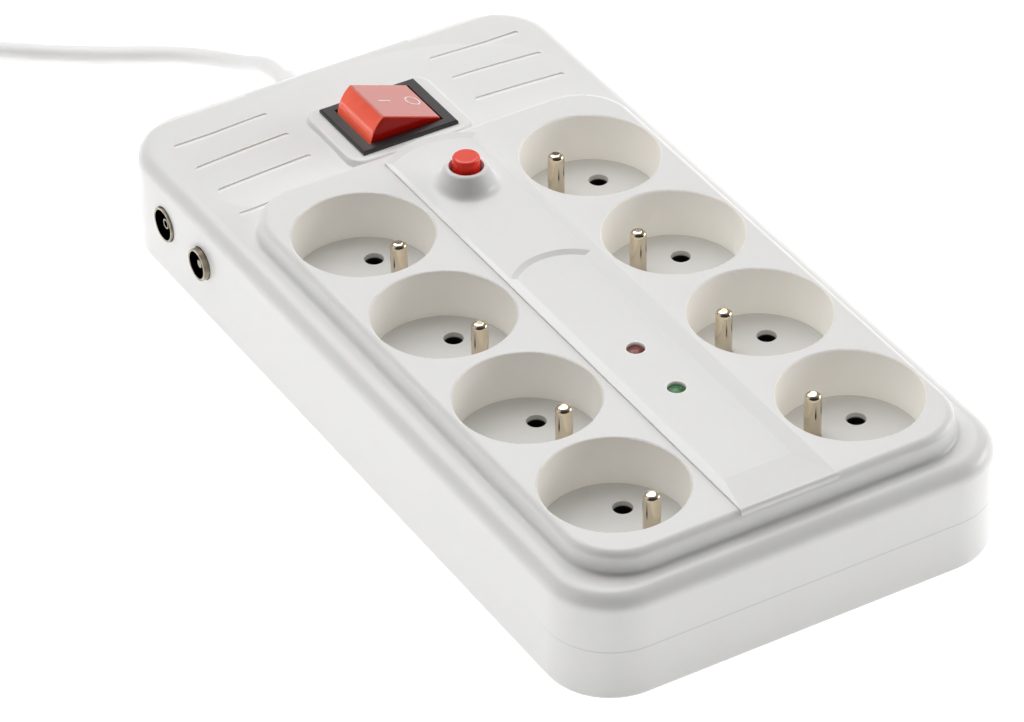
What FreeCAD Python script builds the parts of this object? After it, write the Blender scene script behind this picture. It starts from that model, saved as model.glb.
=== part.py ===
import FreeCAD, Part
import Sketcher
import math
import os

from FreeCAD import Placement, Rotation, Vector

# Eight-way surge protector power strip, in millimetres.
# The origin is at the middle of the casing's underside, +Y points to the switch and the cord,
# +Z points up, and the two columns of sockets lie at -X and +X.

SIZES = {
    # Sockets: round wells in two columns and four rows
    "well_diameter": 40.0,
    "well_depth": 15.0,
    "well_wall": 1.8,
    "well_lip_round": 0.5,
    "row_count": 4,
    "row_gap": 0.4,
    "channel_width": 29.8,
    "socket_turn": 45.0,
    "hole_pitch": 19.0,
    "hole_diameter": 5.6,
    "earth_offset": 10.0,
    # Casing
    "side_land": 9.0,
    "front_land": 14.2,
    "rear_deck": 69.2,
    "case_corner": 19.0,
    "rim_height": 33.4,
    "rim_round": 4.8,
    "seam_height": 16.0,
    "case_wall": 2.5,
    "roof": 2.6,
    "base_floor": 2.4,
    "base_round": 1.5,
    "lip_height": 1.6,
    "lip_thickness": 1.0,
    "lip_clearance": 0.15,
    # Raised socket field
    "field_inset": 7.8,
    "field_behind_sockets": 32.0,
    "field_corner": 17.0,
    "field_rise": 6.6,
    "field_slope": 8.0,
    "field_round": 2.5,
    "valley_round": 1.2,
    "field_wall": 2.7,
    # Centre strip with its dished label bed
    "strip_margin": 1.7,
    "strip_step": 0.5,
    "strip_front_reach": 27.3,
    "strip_front_round": 1.0,
    "strip_end_radius": 25.0,
    "tray_border": 0.3,
    "tray_slope_width": 3.9,
    "tray_depth": 0.7,
    "dish_depth": 1.5,
    "dish_front_reach": 12.0,
    "dish_rear_gap": 33.5,
    "dish_end_radius": 17.0,
    "dish_end_slope": 1.6,
    # Crowned rear deck with vent grooves
    "crown_rise": 2.1,
    "crown_reach": 60.0,
    "crown_length_radius": 275.0,
    "crown_half_angle": 7.3,
    "crown_from_switch": 1.7,
    "vent_count": 4,
    "vent_pitch": 13.05,
    "vent_from_switch": 15.6,
    "vent_inner": 27.0,
    "vent_length": 30.0,
    "vent_width": 1.8,
    "vent_depth": 0.45,
    # Mains switch
    "switch_from_sockets": 50.3,
    "pad_width": 42.4,
    "pad_length": 34.2,
    "pad_height": 3.3,
    "pad_corner": 6.7,
    "pad_slope": 25.0,
    "pad_round": 1.2,
    "bezel_width": 31.0,
    "bezel_length": 25.8,
    "bezel_height": 1.2,
    "bezel_bevel": 0.4,
    "switch_window_width": 24.4,
    "switch_window_length": 20.2,
    "switch_side_wall": 1.2,
    "switch_end_wall": 0.8,
    "panel_clearance": 0.1,
    "switch_depth": 23.0,
    "switch_cavity_depth": 18.0,
    "pivot_below_bezel": 1.9,
    "pivot_diameter": 2.4,
    "pivot_clearance": 0.05,
    "pivot_length": 0.6,
    "rocker_top": 6.26,
    "rocker_half_chord": 9.7,
    "rocker_skirt": 3.4,
    "rocker_side_gap": 0.3,
    "rocker_tilt": 19.6,
    "rocker_edge_round": 0.5,
    "clip_reach": 1.0,
    "clip_height": 5.0,
    "clip_width": 8.0,
    "clip_gap": 0.1,
    "toggle_width": 3.0,
    "toggle_length": 5.5,
    "tab_width": 6.3,
    "tab_thickness": 0.8,
    "tab_length": 7.0,
    "tab_seat": 2.0,
    "tab_clearance": 0.1,
    "tab_spacing_x": 14.0,
    "tab_spacing_y": 11.0,
    # Resettable breaker
    "button_from_sockets": 6.3,
    "boss_radius": 8.9,
    "boss_rise": 6.0,
    "boss_slope": 23.0,
    "boss_foot_round": 3.0,
    "boss_top_round": 0.9,
    "button_hole_diameter": 10.0,
    "neck_diameter": 9.6,
    "neck_below_boss": 3.0,
    "breaker_width": 14.0,
    "breaker_length": 32.0,
    "breaker_height": 24.0,
    "cap_diameter": 7.8,
    "cap_clearance": 0.1,
    "cap_above_boss": 3.3,
    "cap_sunk": 11.4,
    "cap_round": 0.8,
    "cap_travel": 2.5,
    "breaker_tab_spacing": 12.0,
    "breaker_post_spacing": 26.0,
    "spring_wire": 0.8,
    "spring_turns": 5,
    "spring_margin": 0.7,
    # Indicator lamps and the protection board
    "green_from_first_row": 28.1,
    "lamp_pitch": 20.6,
    "lamp_hole_diameter": 5.4,
    "lamp_diameter": 5.2,
    "lamp_flange_diameter": 5.8,
    "lamp_flange": 1.0,
    "lamp_dome": 0.9,
    "lamp_below_dish": 0.35,
    "lamp_height": 9.25,
    "board_thickness": 1.6,
    "board_side_gap": 2.9,
    "board_front_reach": 16.0,
    "board_rear_gap": 24.0,
    "board_boss_diameter": 6.0,
    "board_boss_inset": 5.0,
    "varistor_diameter": 14.0,
    "varistor_thickness": 4.6,
    "varistor_pitch": 8.0,
    "capacitor_length": 18.0,
    "capacitor_width": 8.0,
    "capacitor_height": 13.0,
    "fuse_diameter": 4.0,
    "fuse_length": 11.0,
    "resistor_diameter": 2.4,
    "resistor_length": 6.4,
    "resistor_pitch": 4.6,
    "resistor_count": 3,
    "varistor_count": 3,
    "lead_diameter": 0.8,
    "lead_length": 1.4,
    "varistor_from_board_rear": 26.0,
    "capacitor_from_board_rear": 17.0,
    "fuse_from_board_middle": 9.0,
    "resistor_before_red": 10.3,
    # Socket floors, pins and rails
    "socket_flange": 2.0,
    "socket_step": 0.6,
    "socket_step_clearance": 0.2,
    "chimney_length": 2.4,
    "chimney_wall": 1.4,
    "pin_diameter": 4.8,
    "pin_tip_round": 1.5,
    "pin_below_field": 1.2,
    "pin_seat_clearance": 0.05,
    "pin_root_relief": 0.3,
    "pin_root_height": 0.4,
    "pin_flange_diameter": 7.4,
    "pin_flange": 1.2,
    "pin_shank_diameter": 3.2,
    "rivet_head_diameter": 5.2,
    "rivet_head": 0.7,
    "earth_rail_width": 4.0,
    "earth_rail_thickness": 1.0,
    "earth_tab_width": 7.6,
    "earth_tab_beyond_pin": 3.4,
    "rail_width": 6.0,
    "rail_thickness": 0.8,
    "rail_height": 4.4,
    "contact_width": 6.0,
    "contact_thickness": 0.6,
    "contact_gap": 4.6,
    "contact_bow": 1.8,
    "contact_flare": 1.2,
    "contact_bow_height": 4.3,
    "contact_pinch_below_top": 3.6,
    "contact_below_chimney": 1.0,
    "neutral_link_from_sockets": 25.5,
    "live_link_from_sockets": 33.0,
    # Screws, posts and wall hooks
    "screw_boss_diameter": 7.0,
    "screw_post_diameter": 8.4,
    "screw_diameter": 2.9,
    "screw_clearance": 0.05,
    "screw_head_diameter": 5.6,
    "screw_head_height": 2.0,
    "screw_recess_diameter": 6.2,
    "screw_recess_depth": 6.0,
    "screw_length": 18.0,
    "screw_corner_inset": 11.5,
    "screw_side_inset": 8.0,
    "socket_post_diameter": 5.0,
    "socket_post_x": 13.6,
    "socket_post_y": 11.0,
    "keyhole_diameter": 8.5,
    "keyhole_slot": 4.2,
    "keyhole_reach": 8.0,
    "keyhole_front": -90.0,
    "keyhole_rear": 10.0,
    "hood_width": 12.0,
    "hood_length": 22.0,
    "hood_height": 4.6,
    "hood_wall": 1.2,
    # Aerial connectors on the left wall
    "coax_height": 18.0,
    "coax_output_before_switch": 11.3,
    "coax_pitch": 22.3,
    "coax_hole_clearance": 0.2,
    "coax_input_diameter": 10.4,
    "coax_input_bore": 9.2,
    "coax_input_proud": 0.7,
    "coax_output_diameter": 9.6,
    "coax_output_bore": 8.2,
    "coax_output_proud": 1.8,
    "coax_flange_diameter": 14.0,
    "coax_flange": 1.2,
    "coax_length": 12.0,
    "coax_insulator": 3.0,
    "coax_pin_diameter": 2.4,
    "coax_sleeve_diameter": 3.1,
    "coax_sleeve_bore": 2.2,
    "coax_contact_sunk": 1.0,
    "coax_board_thickness": 1.6,
    "coax_board_margin": 9.0,
    "coax_board_height": 22.0,
    "coax_rest_width": 4.0,
    "coax_rest_wall": 1.6,
    "coax_rest_overlap": 2.0,
    "coax_rest_spacing": 26.0,
    "gas_tube_diameter": 6.0,
    "gas_tube_length": 7.0,
    # Mains cord, its gland, clamp and plug
    "cord_diameter": 6.4,
    "cord_exit_height": 14.0,
    "gland_diameter": 12.0,
    "gland_tip_diameter": 8.6,
    "gland_length": 21.0,
    "gland_groove_diameter": 9.6,
    "gland_flange": 2.0,
    "gland_bore_clearance": 0.1,
    "clamp_from_wall": 17.0,
    "clamp_width": 24.0,
    "clamp_length": 8.0,
    "clamp_thickness": 3.0,
    "clamp_above_axis": 1.2,
    "clamp_screw_bite": 3.0,
    "clamp_screw_spacing": 17.0,
    "clamp_post_diameter": 5.6,
    "clamp_screw_diameter": 2.6,
    "clamp_screw_head": 4.8,
    "clamp_screw_head_height": 1.8,
    "jacket_beyond_clamp": 6.0,
    "coil_radius": 37.0,
    "coil_turn_gap": 0.6,
    "coil_turns": 5,
    "plug_diameter": 38.0,
    "plug_back": 19.0,
    "plug_nose": 15.0,
    "plug_nose_diameter": 37.0,
    "plug_pin_length": 19.0,
    "plug_pin_seat": 4.0,
    "plug_round": 4.0,
    "plug_nose_bevel": 1.0,
    "plug_contact_width": 5.4,
    "plug_contact_thickness": 1.0,
    "plug_contact_sunk": 0.6,
    "plug_sleeve_diameter": 7.0,
    "plug_sleeve_bore": 5.2,
    "plug_sleeve_depth": 14.0,
    "plug_relief_length": 24.0,
    "plug_relief_diameter": 11.0,
}


class Size:
    """A value together with the spreadsheet formula that gives it."""

    def __init__(self, value, formula=None):
        self.value = float(value)
        self.formula = formula or repr(self.value)

    def __float__(self):
        return self.value

    def joined(self, other, sign, value):
        return Size(value, f"({self.formula} {sign} {other.formula})")

    def __add__(self, other):
        other = as_size(other)
        return self.joined(other, "+", self.value + other.value)

    def __sub__(self, other):
        other = as_size(other)
        return self.joined(other, "-", self.value - other.value)

    def __mul__(self, other):
        other = as_size(other)
        return self.joined(other, "*", self.value * other.value)

    def __truediv__(self, other):
        other = as_size(other)
        return self.joined(other, "/", self.value / other.value)

    def __radd__(self, other):
        return as_size(other) + self

    def __rsub__(self, other):
        return as_size(other) - self

    def __rmul__(self, other):
        return as_size(other) * self

    def __neg__(self):
        return as_size(0) - self


def as_size(value):
    return value if isinstance(value, Size) else Size(value)


def cosine(angle):
    return Size(math.cos(math.radians(angle.value)), f"cos({angle.formula} * 1deg)")


def root(square):
    return Size(math.sqrt(square.value), f"sqrt({square.formula})")


doc = FreeCAD.newDocument("PowerStrip")
sheet = doc.addObject("Spreadsheet::Sheet", "Sizes")
for row, (alias, value) in enumerate(SIZES.items(), start=1):
    sheet.set(f"A{row}", str(value))
    sheet.setAlias(f"A{row}", alias)
doc.recompute()


def size(alias):
    return Size(SIZES[alias], f"Sizes.{alias}")


# Heights that several pieces share
SEAM = size("seam_height")
RIM = size("rim_height")
FIELD_TOP = RIM + size("field_rise")
WELL_FLOOR = FIELD_TOP - size("well_depth")
SOCKET_FLANGE_TOP = WELL_FLOOR - size("socket_step")
SOCKET_UNDERSIDE = SOCKET_FLANGE_TOP - size("socket_flange")
CHIMNEY_END = SOCKET_UNDERSIDE - size("chimney_length")
FIELD_ROOF = FIELD_TOP - size("roof")
RIM_ROOF = RIM - size("roof")
STRIP_TOP = FIELD_TOP + size("strip_step")
TRAY_FLOOR = STRIP_TOP - size("tray_depth")
DISH_FLOOR = STRIP_TOP - size("dish_depth")
PAD_TOP = RIM + size("pad_height")
BOSS_TOP = FIELD_TOP + size("boss_rise")
BOARD_TOP = DISH_FLOOR - size("lamp_below_dish") - size("lamp_height")
BOARD_UNDERSIDE = BOARD_TOP - size("board_thickness")
BOARD_SCREW_REACH = FIELD_ROOF - BOARD_TOP - size("roof") / 2
BEZEL_TOP = PAD_TOP + size("bezel_height")
PIVOT_Z = BEZEL_TOP - size("pivot_below_bezel")
BREAKER_UNDERSIDE = FIELD_ROOF - size("breaker_height")
CORD_Z = size("cord_exit_height")
CORD_RADIUS = size("cord_diameter") / 2
CLAMP_UNDERSIDE = CORD_Z + size("clamp_above_axis")
CLAMP_TOP = CORD_Z + CORD_RADIUS + size("clamp_thickness")
SPRING_LENGTH = (size("spring_wire") * (size("spring_turns") + 1) + size("cap_travel")
                 + size("spring_margin"))
SPRING_FLOOR = BOSS_TOP - size("cap_sunk") - SPRING_LENGTH
EARTH_RAIL_TOP = SOCKET_UNDERSIDE - size("pin_flange")
EARTH_RAIL_UNDERSIDE = EARTH_RAIL_TOP - size("earth_rail_thickness")
COAX_BOARD_UNDERSIDE = size("coax_height") - size("coax_board_height") / 2

# Plan of the sockets and of the casing round them
WELL_RADIUS = size("well_diameter") / 2
TUBE_RADIUS = WELL_RADIUS + size("well_wall")
ROW_PITCH = TUBE_RADIUS * 2 + size("row_gap")
COLUMN = TUBE_RADIUS + size("channel_width") / 2
HALF_WIDTH = COLUMN + TUBE_RADIUS + size("side_land")
ROW_SPAN = ROW_PITCH * (size("row_count") - 1)
CASE_LENGTH = TUBE_RADIUS * 2 + ROW_SPAN + size("front_land") + size("rear_deck")
REAR = CASE_LENGTH / 2
FRONT = -REAR
FIRST_ROW = FRONT + size("front_land") + TUBE_RADIUS
LAST_ROW = FIRST_ROW + ROW_SPAN
SWITCH_Y = LAST_ROW + size("switch_from_sockets")
BUTTON_Y = LAST_ROW + size("button_from_sockets")
GREEN_Y = FIRST_ROW + size("green_from_first_row")
RED_Y = GREEN_Y + size("lamp_pitch")
COAX_OUTPUT_Y = SWITCH_Y - size("coax_output_before_switch")
COAX_INPUT_Y = COAX_OUTPUT_Y + size("coax_pitch")
STRIP_HALF = COLUMN - WELL_RADIUS - size("strip_margin")
HOLE_REACH = size("hole_pitch") / 2 * cosine(size("socket_turn"))
EARTH_REACH = size("earth_offset") * cosine(size("socket_turn"))
FIELD_REAR = LAST_ROW + size("field_behind_sockets")
CLAMP_Y = REAR - size("clamp_from_wall")
BOARD_HALF = size("channel_width") / 2 - size("board_side_gap")
BOARD_FRONT = FIRST_ROW + size("board_front_reach")
BOARD_REAR = LAST_ROW - size("board_rear_gap")
ROWS = [FIRST_ROW + ROW_PITCH * index for index in range(SIZES["row_count"])]
COLUMNS = [(-COLUMN, 1), (COLUMN, -1)]
HOUSING_HALF_WIDTH = size("switch_window_width") / 2 + size("switch_side_wall")
HOUSING_HALF_LENGTH = size("switch_window_length") / 2 + size("switch_end_wall")
WALL_AND_LIP = size("case_wall") + size("lip_clearance") + size("lip_thickness")
COAX_BOARD_X = size("coax_length") - HALF_WIDTH
COAX_MIDDLE_Y = (COAX_INPUT_Y + COAX_OUTPUT_Y) / 2

# Live holes lie on the outer lines and neutral holes on the inner lines of the two columns.
# Each entry gives a rail's distance from the middle, the contacts' shift along Y in the left
# and in the right column, and the place of the link across the strip.
RAIL_LINES = {
    "live_rail": (COLUMN + HOLE_REACH, -HOLE_REACH, HOLE_REACH,
                  LAST_ROW + size("live_link_from_sockets")),
    "neutral_rail": (COLUMN - HOLE_REACH, HOLE_REACH, -HOLE_REACH,
                     LAST_ROW + size("neutral_link_from_sockets")),
}


def bind(target, name, value):
    """Tie one property of an object to the spreadsheet."""
    target.setExpression(name, as_size(value).formula)


def place(target, x, y, z):
    bind(target, "Placement.Base.x", x)
    bind(target, "Placement.Base.y", y)
    bind(target, "Placement.Base.z", z)


# Sketches on a body's own planes

def origin_plane(body, role):
    return next(item for item in body.Origin.OriginFeatures if item.Role == role)


def sketch_on(body, name, role="XY_Plane", offset=0):
    """A sketch on one of the body's planes, moved along the plane's normal."""
    sketch = body.newObject("Sketcher::SketchObject", name)
    sketch.AttachmentSupport = [(origin_plane(body, role), "")]
    sketch.MapMode = "FlatFace"
    bind(sketch, "AttachmentOffset.Base.z", offset)
    return sketch


def dimension(sketch, kind, places, value):
    """A named driving dimension in a sketch, tied to the spreadsheet."""
    value = as_size(value)
    index = sketch.addConstraint(Sketcher.Constraint(kind, *places, value.value))
    sketch.renameConstraint(index, f"size_{index}")
    sketch.setExpression(f"Constraints.size_{index}", value.formula)


def pin_point(sketch, item, point, x, y):
    dimension(sketch, "DistanceX", (-1, 1, item, point), x)
    dimension(sketch, "DistanceY", (-1, 1, item, point), y)


def circle(sketch, x, y, radius):
    x, y, radius = as_size(x), as_size(y), as_size(radius)
    shape = Part.Circle(Vector(x.value, y.value, 0), Vector(0, 0, 1), radius.value)
    item = sketch.addGeometry(shape, False)
    pin_point(sketch, item, 3, x, y)
    dimension(sketch, "Radius", (item,), radius)


def outline(sketch, points, arcs=None):
    """A closed outline through the points; arcs gives a side's radius, negative for clockwise."""
    arcs = arcs or {}
    points = [(as_size(x), as_size(y)) for x, y in points]
    ends = []
    for index, start in enumerate(points):
        stop = points[(index + 1) % len(points)]
        a = Vector(start[0].value, start[1].value, 0)
        b = Vector(stop[0].value, stop[1].value, 0)
        if index not in arcs:
            item = sketch.addGeometry(Part.LineSegment(a, b), False)
            ends.append((item, 1, 2))
            continue
        radius = as_size(arcs[index])
        side = 1 if radius.value > 0 else -1
        chord = b - a
        rise = math.sqrt(max(radius.value ** 2 - chord.Length ** 2 / 4, 0))
        left = Vector(-chord.y, chord.x, 0).normalize()
        centre = (a + b) / 2 + left * rise * side
        first, last = (a, b) if side > 0 else (b, a)
        shape = Part.ArcOfCircle(Part.Circle(centre, Vector(0, 0, 1), abs(radius.value)),
                                 math.atan2(first.y - centre.y, first.x - centre.x),
                                 math.atan2(last.y - centre.y, last.x - centre.x))
        item = sketch.addGeometry(shape, False)
        ends.append((item, 1, 2) if side > 0 else (item, 2, 1))
        if rise > 0.001:
            dimension(sketch, "Radius", (item,), radius if side > 0 else -radius)
        elif abs(chord.x) < 0.001:
            dimension(sketch, "DistanceX", (-1, 1, item, 3), start[0])
        else:
            dimension(sketch, "DistanceY", (-1, 1, item, 3), start[1])
    for index, (item, first, last) in enumerate(ends):
        following = ends[(index + 1) % len(ends)]
        sketch.addConstraint(Sketcher.Constraint("Coincident", item, last,
                                                 following[0], following[1]))
        pin_point(sketch, item, first, *points[index])


def rectangle(sketch, left, right, bottom, top):
    outline(sketch, [(left, bottom), (right, bottom), (right, top), (left, top)])


def rounded_rectangle(sketch, left, right, bottom, top, radius):
    """A rectangle with four round corners, each corner tangent to its sides."""
    left, right, bottom, top = [as_size(edge) for edge in (left, right, bottom, top)]
    radius = as_size(radius)
    points = [(left + radius, bottom), (right - radius, bottom),
              (right, bottom + radius), (right, top - radius),
              (right - radius, top), (left + radius, top),
              (left, top - radius), (left, bottom + radius)]
    outline(sketch, points, {1: radius, 3: radius, 5: radius, 7: radius})


# Features

def pad(body, sketch, length, taper=None):
    feature = body.newObject("PartDesign::Pad", sketch.Name + "Pad")
    feature.Profile = sketch
    bind(feature, "Length", length)
    if taper is not None:
        bind(feature, "TaperAngle", taper)
    return feature


def centred_pad(body, sketch, length):
    feature = pad(body, sketch, length)
    feature.SideType = "Symmetric"
    return feature


def pocket(body, sketch, length, along_normal=False, taper=None):
    """A cut against the sketch's normal, or along it."""
    feature = body.newObject("PartDesign::Pocket", sketch.Name + "Cut")
    feature.Profile = sketch
    bind(feature, "Length", length)
    feature.Reversed = along_normal
    if taper is not None:
        bind(feature, "TaperAngle", taper)
    return feature


def sloped_cut(body, rim, floor):
    """A cut whose straight walls lean from one outline to another."""
    feature = body.newObject("PartDesign::SubtractiveLoft", rim.Name + "Cut")
    feature.Profile = rim
    feature.Sections = [floor]
    feature.Ruled = True
    return feature


def turned(body, sketch, axis="V_Axis"):
    feature = body.newObject("PartDesign::Revolution", sketch.Name + "Turn")
    feature.Profile = sketch
    feature.ReferenceAxis = (sketch, [axis])
    feature.Angle = 360
    return feature


def edges_of(feature, wanted):
    """Names of the feature's edges that the test accepts."""
    doc.recompute()
    edges = feature.Shape.Edges
    return [f"Edge{index}" for index, edge in enumerate(edges, start=1) if wanted(edge)]


def at_height(edge, height):
    box = edge.BoundBox
    return abs(box.ZMin - float(height)) < 0.001 and abs(box.ZMax - float(height)) < 0.001


def within(edge, left, right, front, rear):
    box = edge.BoundBox
    return (box.XMin > float(left) and box.XMax < float(right)
            and box.YMin > float(front) and box.YMax < float(rear))


def fillet(body, feature, radius, wanted):
    round_feature = body.newObject("PartDesign::Fillet", feature.Name + "Round")
    round_feature.Base = (feature, edges_of(feature, wanted))
    bind(round_feature, "Radius", radius)
    return round_feature


def chamfer(body, feature, width, wanted):
    bevel = body.newObject("PartDesign::Chamfer", feature.Name + "Bevel")
    bevel.Base = (feature, edges_of(feature, wanted))
    bind(bevel, "Size", width)
    return bevel


def new_body(name, x=0, y=0, z=0):
    body = doc.addObject("PartDesign::Body", name)
    body.Label = name
    place(body, x, y, z)
    return body


# Plain blocks, rods and their sums for small parts

def block(name, x, y, z, width, length, height):
    """A block centred on x and y that stands on z."""
    item = doc.addObject("Part::Box", name)
    bind(item, "Length", width)
    bind(item, "Width", length)
    bind(item, "Height", height)
    place(item, x - as_size(width) / 2, y - as_size(length) / 2, z)
    return item


def rod(name, x, y, z, diameter, height, turn=None):
    """A rod from a point along +Z, or along another axis after a turn."""
    item = doc.addObject("Part::Cylinder", name)
    bind(item, "Radius", as_size(diameter) / 2)
    bind(item, "Height", height)
    if turn:
        item.Placement = Placement(Vector(), Rotation(Vector(*turn[0]), turn[1]))
    place(item, x, y, z)
    return item


ALONG_X = ((0, 1, 0), 90)
ALONG_Y = ((1, 0, 0), -90)


def joined(name, items):
    """Solids that touch become one; solids that stand apart stay a group."""
    whole = doc.addObject("Part::MultiFuse", name)
    whole.Shapes = items
    whole.Label = name
    return whole


def grouped(name, items):
    """Separate solids that share one node."""
    group = doc.addObject("Part::Compound", name)
    group.Links = items
    group.Label = name
    return group


def cut(name, base, tool):
    rest = doc.addObject("Part::Cut", name)
    rest.Base = base
    rest.Tool = tool
    rest.Label = name
    return rest


NODES = []


def keep(item):
    """Mark an object as one of the part's nodes."""
    NODES.append(item)
    return item


# Casing

def case_outline(body, name, height, inset):
    sketch = sketch_on(body, name, offset=height)
    inset = as_size(inset)
    rounded_rectangle(sketch, -HALF_WIDTH + inset, HALF_WIDTH - inset,
                      FRONT + inset, REAR - inset, size("case_corner") - inset)
    return sketch


def field_outline(body, name, height, inset):
    """The raised field that carries the sockets, drawn inwards from its foot."""
    sketch = sketch_on(body, name, offset=height)
    side = HALF_WIDTH - size("field_inset") - inset
    rounded_rectangle(sketch, -side, side, FRONT + size("field_inset") + inset,
                      FIELD_REAR - inset, size("field_corner") - inset)
    return sketch


def well_circles(body, name, height, radius):
    sketch = sketch_on(body, name, offset=height)
    for column, _ in COLUMNS:
        for row in ROWS:
            circle(sketch, column, row, radius)
    return sketch


def screw_places():
    """Two screws at the rear corners, two at the front corners and two beside the middle."""
    corner = size("screw_corner_inset")
    side = HALF_WIDTH - size("screw_side_inset")
    middle = (FIRST_ROW + LAST_ROW) / 2
    places = []
    for sign in (-1, 1):
        places.append(((HALF_WIDTH - corner) * sign, FRONT + corner))
        places.append((side * sign, middle))
        places.append(((HALF_WIDTH - corner) * sign, REAR - corner))
    return places


def circles_at(body, name, height, places, diameter):
    sketch = sketch_on(body, name, offset=height)
    for x, y in places:
        circle(sketch, x, y, as_size(diameter) / 2)
    return sketch


def open_walls(body):
    """Holes for the two aerial connectors and the cord gland; both shells share them."""
    depth = WALL_AND_LIP + 2
    coax = sketch_on(body, "CoaxHoles", "YZ_Plane", -HALF_WIDTH - 1)
    for y, diameter in ((COAX_INPUT_Y, size("coax_input_diameter")),
                        (COAX_OUTPUT_Y, size("coax_output_diameter"))):
        circle(coax, y, size("coax_height"), diameter / 2 + size("coax_hole_clearance"))
    pocket(body, coax, depth, along_normal=True)
    gland = sketch_on(body, "GlandHole", "XZ_Plane", -REAR - 1)
    circle(gland, 0, size("cord_exit_height"),
           size("gland_groove_diameter") / 2 + size("gland_bore_clearance"))
    pocket(body, gland, depth, along_normal=True)


def strip_outline(body, name, height, half, front, rear, radius):
    """A strip whose rear end is an arc; rear is the arc's farthest point."""
    sketch = sketch_on(body, name, offset=height)
    corner = rear - radius + root(radius * radius - half * half)
    outline(sketch, [(-half, front), (half, front), (half, corner), (-half, corner)],
            {2: radius})
    return sketch


def crown(body, name, lowered=0):
    """The low dome of the rear deck, curved across and along."""
    level = RIM - lowered
    top = level + size("crown_rise")
    rise = size("crown_rise")
    reach = size("crown_reach")
    across = (reach * reach + rise * rise) / (rise * 2)
    sketch = sketch_on(body, name, "XZ_Plane", -SWITCH_Y - size("crown_from_switch"))
    foot = RIM - 3
    outline(sketch, [(-reach, foot), (reach, foot), (reach, level), (-reach, level)], {2: across})
    axis_height = top - size("crown_length_radius")
    line = Part.LineSegment(Vector(-1, axis_height.value, 0), Vector(1, axis_height.value, 0))
    axis = sketch.addGeometry(line, True)
    pin_point(sketch, axis, 1, -1, axis_height)
    pin_point(sketch, axis, 2, 1, axis_height)
    dome = body.newObject("PartDesign::Revolution", name + "Dome")
    dome.Profile = sketch
    dome.ReferenceAxis = (sketch, ["Axis0"])
    dome.Midplane = True
    bind(dome, "Angle", size("crown_half_angle") * 2)


def vents(body):
    """Four shallow grooves on each side of the switch; a lower crown makes their floors."""
    sketch = sketch_on(body, "Vent", offset=RIM + size("crown_rise") + 1)
    y = SWITCH_Y - size("vent_from_switch")
    half = size("vent_width") / 2
    inner = size("vent_inner")
    outer = inner + size("vent_length")
    for start, stop in ((-outer, -inner), (inner, outer)):
        outline(sketch, [(start + half, y - half), (stop - half, y - half),
                         (stop - half, y + half), (start + half, y + half)],
                {1: half, 3: half})
    groove = pocket(body, sketch, size("crown_rise") + 1 + size("vent_depth"))
    pattern = body.newObject("PartDesign::LinearPattern", "VentRow")
    pattern.Originals = [groove]
    pattern.Direction = (sketch, ["V_Axis"])
    bind(pattern, "Length", size("vent_pitch") * (size("vent_count") - 1))
    pattern.Occurrences = SIZES["vent_count"]
    body.Tip = pattern
    crown(body, "GrooveFloor", size("vent_depth"))


def centre_strip(body):
    """The strip between the columns: a shallow tray and in front of the boss a deeper bed."""
    front = FIRST_ROW - size("strip_front_reach")
    rear = BUTTON_Y + size("strip_end_radius")
    strip = strip_outline(body, "Strip", FIELD_TOP - 2, STRIP_HALF, front, rear,
                          size("strip_end_radius"))
    step = pad(body, strip, size("strip_step") + 2)
    fillet(body, step, size("strip_front_round"),
           lambda edge: at_height(edge, STRIP_TOP) and within(edge, -50, 50, FRONT, front + 0.1))

    # Every outline is given by its inset from the strip and by its front and rear ends
    border, slope = size("tray_border"), size("tray_slope_width")
    part = size("tray_depth") / size("dish_depth")
    ramp = front + size("strip_front_round") + border
    crease = FIRST_ROW - size("dish_front_reach")
    bed_rear = LAST_ROW - size("dish_rear_gap")

    def tray_outline(name, height, share, end, radius):
        inset = border + slope * share
        return strip_outline(body, name, height, STRIP_HALF - inset,
                             ramp + (crease - ramp) * share, end, radius)

    end_radius = size("strip_end_radius")
    sloped_cut(body, tray_outline("TrayRim", STRIP_TOP, 0, rear - border, end_radius - border),
               tray_outline("TrayFloor", TRAY_FLOOR, part, rear - border - slope * part,
                            end_radius - border - slope * part))
    sloped_cut(body, tray_outline("BedRim", TRAY_FLOOR, part, bed_rear, size("dish_end_radius")),
               tray_outline("BedFloor", DISH_FLOOR, 1, bed_rear - size("dish_end_slope"),
                            size("dish_end_radius") - size("dish_end_slope")))


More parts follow.
